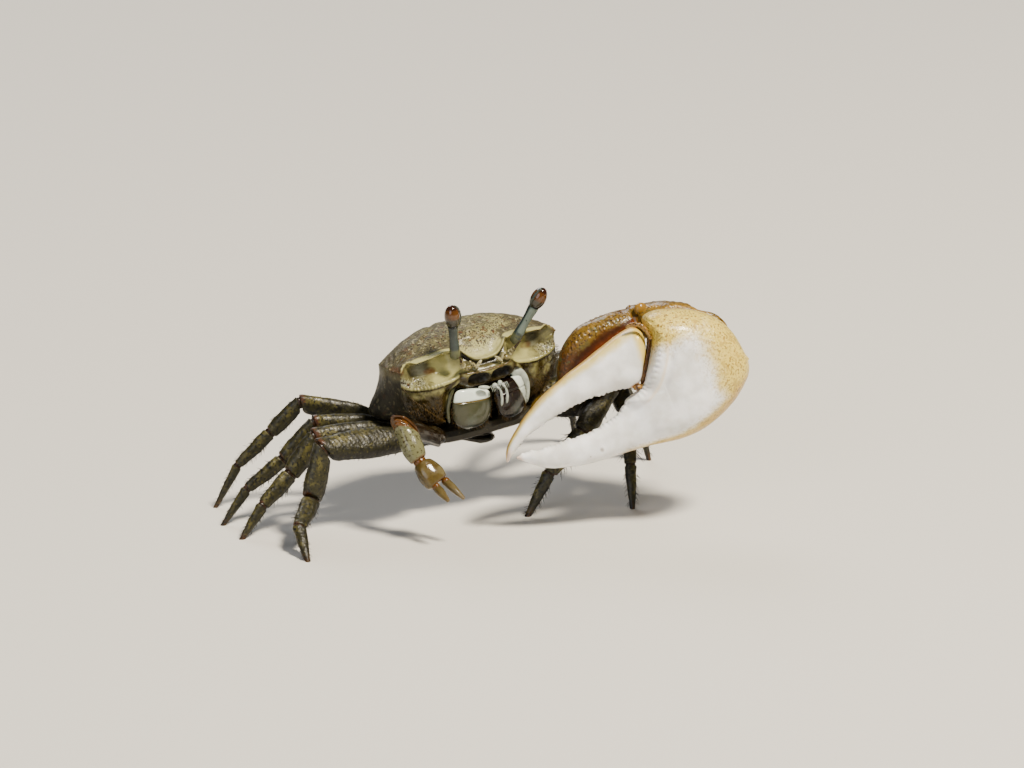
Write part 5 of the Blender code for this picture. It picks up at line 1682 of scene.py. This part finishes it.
def build_claw_finger(finish, sizes):
    """Movable finger: white and smooth, with an amber upper edge and low teeth below."""
    places, sides = FINGER_GRID
    at = edge_rows(FINGER_ROWS, (2, 3), places)
    angle = angles(sides)[None, :]
    form = outline_form(FINGER_ROWS, at[:, None], angle)
    p, q = form[..., 0], form[..., 1]
    upper = np.cos(angle) * np.ones_like(p)
    teeth = tooth_heights(FINGER_ROWS, (2, 3), FINGER_TEETH, at, sizes.tooth / MM, 4)
    height = teeth[:, None] * np.clip(-upper, 0, 1) ** TOOTH_SHARPNESS
    height += 0.04 * noise(form, 1.8, 211) + 0.012 * noise(form, 0.7, 212)
    base = 1 - ramp(p, 0.6, 2.2)
    knob = 0.9 * bump(np.hypot((p - 2.7) / 1.2, (q + 3.3) / 0.7), 1.0)
    finger = closed_grid(
        placed(CLAW, relief(form, height)),
        ochre=most(0.7 * ramp(upper, 0.3, 0.95), 0.8 * base),
        rust=most(0.5 * ramp(upper, 0.8, 1.0), 0.5 * ramp(p, 17.5, 19.2), 0.35 * base * (q > 1), knob),
        dark=0.35 * base * ramp(-q, 0.5, 2.5),
        wet=0.5,
    )
    add_piece("claw_finger_skin", [finger], finish, ["claw_finger"])


def build_claw_hinge():
    """Brown membrane arched over the finger's root and down the joint, and the knob of its lower hinge."""
    finish = cuticle(
        "hinge_membrane",
        linear("#6E4A1C"),
        (("dark", linear("#24140A"), 0.4), ("pale", linear("#A8823E"), 0.4)),
        ((linear("#3A240E"), 0.3, 0.2, None),),
        roughness=(0.4, 0.22),
        coat=0.5,
        pits=(0.25, 0.04),
    )
    rounded = blunt(HINGE_STEPS, 4) * (1 + 0.1 * np.cos(np.arange(HINGE_STEPS) * 1.6))
    shapes = [
        tube(placed(CLAW, curve(path, HINGE_STEPS)), thick * rounded, sides=16, wet=0.9, **masks)
        for path, thick, masks in HINGE_FOLDS
    ]
    shapes.append(ball(placed(CLAW, np.array([2.5, -3.45, -1.2])), (0.6, 0.5, 0.42), None, 20, 14, pale=0.4, wet=0.9))
    add_piece("claw_hinge", shapes, finish)


def build_claw():
    """Large claw: ivory enamel-like chitin with a granular cream palm, amber edges and a brown hinge membrane."""
    look, sizes = looks()
    finish = cuticle(
        "claw_enamel_chitin",
        look.ivory,
        (
            ("ochre", look.cream, 0.35),
            ("rust", look.amber, 0.15),
            # This cream layer only lines the ridge's flanks, as painted shade
            ("pale", linear("#EBD2A8"), 0.2),
            # Dark layer: the palm's own dark spots, and painted shade along its lower edge
            ("dark", linear("#5A3E1C"), 0.4),
        ),
        ((linear("#8C6C28"), 0.26, 0.19, "grain"), (linear("#BFA24C"), 0.7, 0.17, "grain")),
        roughness=(0.42, 0.22),
        coat=0.4,
        pits=(0.8, 0.02),
        granules=(sizes.granule / MM, 0.07),
        glow=0.12,
    )
    build_palm(finish, sizes)
    build_claw_finger(finish, sizes)
    build_claw_hinge()


# Stage


def build_stage():
    """Plain pale floor, soft studio light, and a camera at the photo's angle and scale."""
    look, _ = looks()
    mesh = bpy.data.meshes.new("floor")
    corners = [(x * FLOOR_REACH, y * FLOOR_REACH, 0) for x, y in ((-1, -1), (1, -1), (1, 1), (-1, 1))]
    mesh.from_pydata(corners, [], [(0, 1, 2, 3)])
    plaster = bpy.data.materials.new("matt_plaster")
    plaster.use_nodes = True
    shader = plaster.node_tree.nodes["Principled BSDF"]
    shader.inputs["Base Color"].default_value = (*look.floor, 1)
    shader.inputs["Roughness"].default_value = 0.85
    mesh.materials.append(plaster)
    floor = add_object("floor", mesh)

    world = bpy.data.worlds.new("soft_room")
    world.use_nodes = True
    background = world.node_tree.nodes["Background"]
    background.inputs["Color"].default_value = (*linear("#E8EEF4"), 1)
    background.inputs["Strength"].default_value = 0.1
    bpy.context.scene.world = world
    for name, place, size, energy, tint in LIGHTS:
        light = bpy.data.lights.new(name, "AREA")
        light.shape = "DISK"
        light.size = size
        light.energy = energy
        light.color = linear(tint)
        lamp = add_object(name, light)
        lamp.location = place
        lamp.rotation_euler = (Vector(place) - Vector(LIGHT_AIM)).to_track_quat("Z", "Y").to_euler()

    turn, tilt = math.radians(VIEW_AZIMUTH), math.radians(VIEW_ELEVATION)
    back = Vector((math.sin(turn) * math.cos(tilt), -math.cos(turn) * math.cos(tilt), math.sin(tilt)))
    right = Vector((math.cos(turn), math.sin(turn), 0))
    up = back.cross(right)
    scale = PIXELS_PER_MM / MM
    centre = Vector(ORIGIN * MM)
    centre += right * ((PICTURE[0] / 2 - ORIGIN_PIXEL[0]) / scale)
    centre -= up * ((PICTURE[1] / 2 - ORIGIN_PIXEL[1]) / scale)
    camera = bpy.data.cameras.new("camera")
    camera.sensor_width = SENSOR_WIDTH
    camera.lens = SENSOR_WIDTH * CAMERA_DISTANCE / (PICTURE[0] / scale)
    camera.clip_start = 0.01
    holder = add_object("camera", camera)
    holder.location = centre + back * CAMERA_DISTANCE
    holder.rotation_euler = back.to_track_quat("Z", "Y").to_euler()
    bpy.context.scene.camera = holder


# Operators


class CRAB_OT_shell(bpy.types.Operator):
    """Builds the finished shell over the carapace"""

    bl_idname = "crab.shell"
    bl_label = "Shell"

    def execute(self, context):
        build_shell()
        return {"FINISHED"}


class CRAB_OT_underside(bpy.types.Operator):
    """Gives the plates of the underside their finish"""

    bl_idname = "crab.underside"
    bl_label = "Underside"

    def execute(self, context):
        build_underside()
        return {"FINISHED"}


class CRAB_OT_eyes(bpy.types.Operator):
    """Builds the eyestalks and the corneas"""

    bl_idname = "crab.eyes"
    bl_label = "Eyes"

    def execute(self, context):
        build_eyes()
        return {"FINISHED"}


class CRAB_OT_feelers(bpy.types.Operator):
    """Builds the antennae and the antennules"""

    bl_idname = "crab.feelers"
    bl_label = "Feelers"

    def execute(self, context):
        build_feelers()
        return {"FINISHED"}


class CRAB_OT_mouth(bpy.types.Operator):
    """Builds the mouth plates, the palps and their hairs"""

    bl_idname = "crab.mouth"
    bl_label = "Mouth"

    def execute(self, context):
        build_mouth()
        return {"FINISHED"}


class CRAB_OT_fringe(bpy.types.Operator):
    """Builds the hairs and the comb of each cheek"""

    bl_idname = "crab.fringe"
    bl_label = "Cheek fringe"

    def execute(self, context):
        build_fringe()
        return {"FINISHED"}


class CRAB_OT_walking_legs(bpy.types.Operator):
    """Builds the eight walking legs and their bristles"""

    bl_idname = "crab.walking_legs"
    bl_label = "Walking legs"

    def execute(self, context):
        build_walking_legs()
        return {"FINISHED"}


class CRAB_OT_claw_arm(bpy.types.Operator):
    """Builds the arm of the large claw"""

    bl_idname = "crab.claw_arm"
    bl_label = "Claw arm"

    def execute(self, context):
        build_claw_arm()
        return {"FINISHED"}


class CRAB_OT_claw(bpy.types.Operator):
    """Builds the palm, the fingers and the hinge of the large claw"""

    bl_idname = "crab.claw"
    bl_label = "Large claw"

    def execute(self, context):
        build_claw()
        return {"FINISHED"}


class CRAB_OT_pincer(bpy.types.Operator):
    """Builds the small claw"""

    bl_idname = "crab.pincer"
    bl_label = "Small claw"

    def execute(self, context):
        build_pincer()
        return {"FINISHED"}


class CRAB_OT_stage(bpy.types.Operator):
    """Lays the floor and sets the lights and the camera"""

    bl_idname = "crab.stage"
    bl_label = "Stage"

    def execute(self, context):
        build_stage()
        return {"FINISHED"}


STEPS = (
    CRAB_OT_shell,
    CRAB_OT_underside,
    CRAB_OT_eyes,
    CRAB_OT_feelers,
    CRAB_OT_mouth,
    CRAB_OT_fringe,
    CRAB_OT_walking_legs,
    CRAB_OT_claw_arm,
    CRAB_OT_claw,
    CRAB_OT_pincer,
    CRAB_OT_stage,
)


class CRAB_PT_panel(bpy.types.Panel):
    """Lists the steps that build the crab"""

    bl_label = "Fiddler Crab"
    bl_space_type = "VIEW_3D"
    bl_region_type = "UI"
    bl_category = "Crab"

    def draw(self, context):
        for step in STEPS:
            self.layout.operator(step.bl_idname)
        for group in (context.scene.crab_colours, context.scene.crab_sizes):
            for name in group.__annotations__:
                self.layout.prop(group, name)


CLASSES = (CrabColours, CrabSizes, *STEPS, CRAB_PT_panel)


def register():
    """Registers the classes and hangs the settings on the scene."""
    for made in CLASSES:
        bpy.utils.register_class(made)
    bpy.types.Scene.crab_colours = bpy.props.PointerProperty(type=CrabColours)
    bpy.types.Scene.crab_sizes = bpy.props.PointerProperty(type=CrabSizes)


def unregister():
    """Takes back what register did."""
    del bpy.types.Scene.crab_sizes
    del bpy.types.Scene.crab_colours
    for made in reversed(CLASSES):
        bpy.utils.unregister_class(made)


def main():
    """Runs every step in order."""
    register()
    bpy.ops.crab.shell()
    bpy.ops.crab.underside()
    bpy.ops.crab.eyes()
    bpy.ops.crab.feelers()
    bpy.ops.crab.mouth()
    bpy.ops.crab.fringe()
    bpy.ops.crab.walking_legs()
    bpy.ops.crab.claw_arm()
    bpy.ops.crab.claw()
    bpy.ops.crab.pincer()
    bpy.ops.crab.stage()


if __name__ == "__main__":
    main()
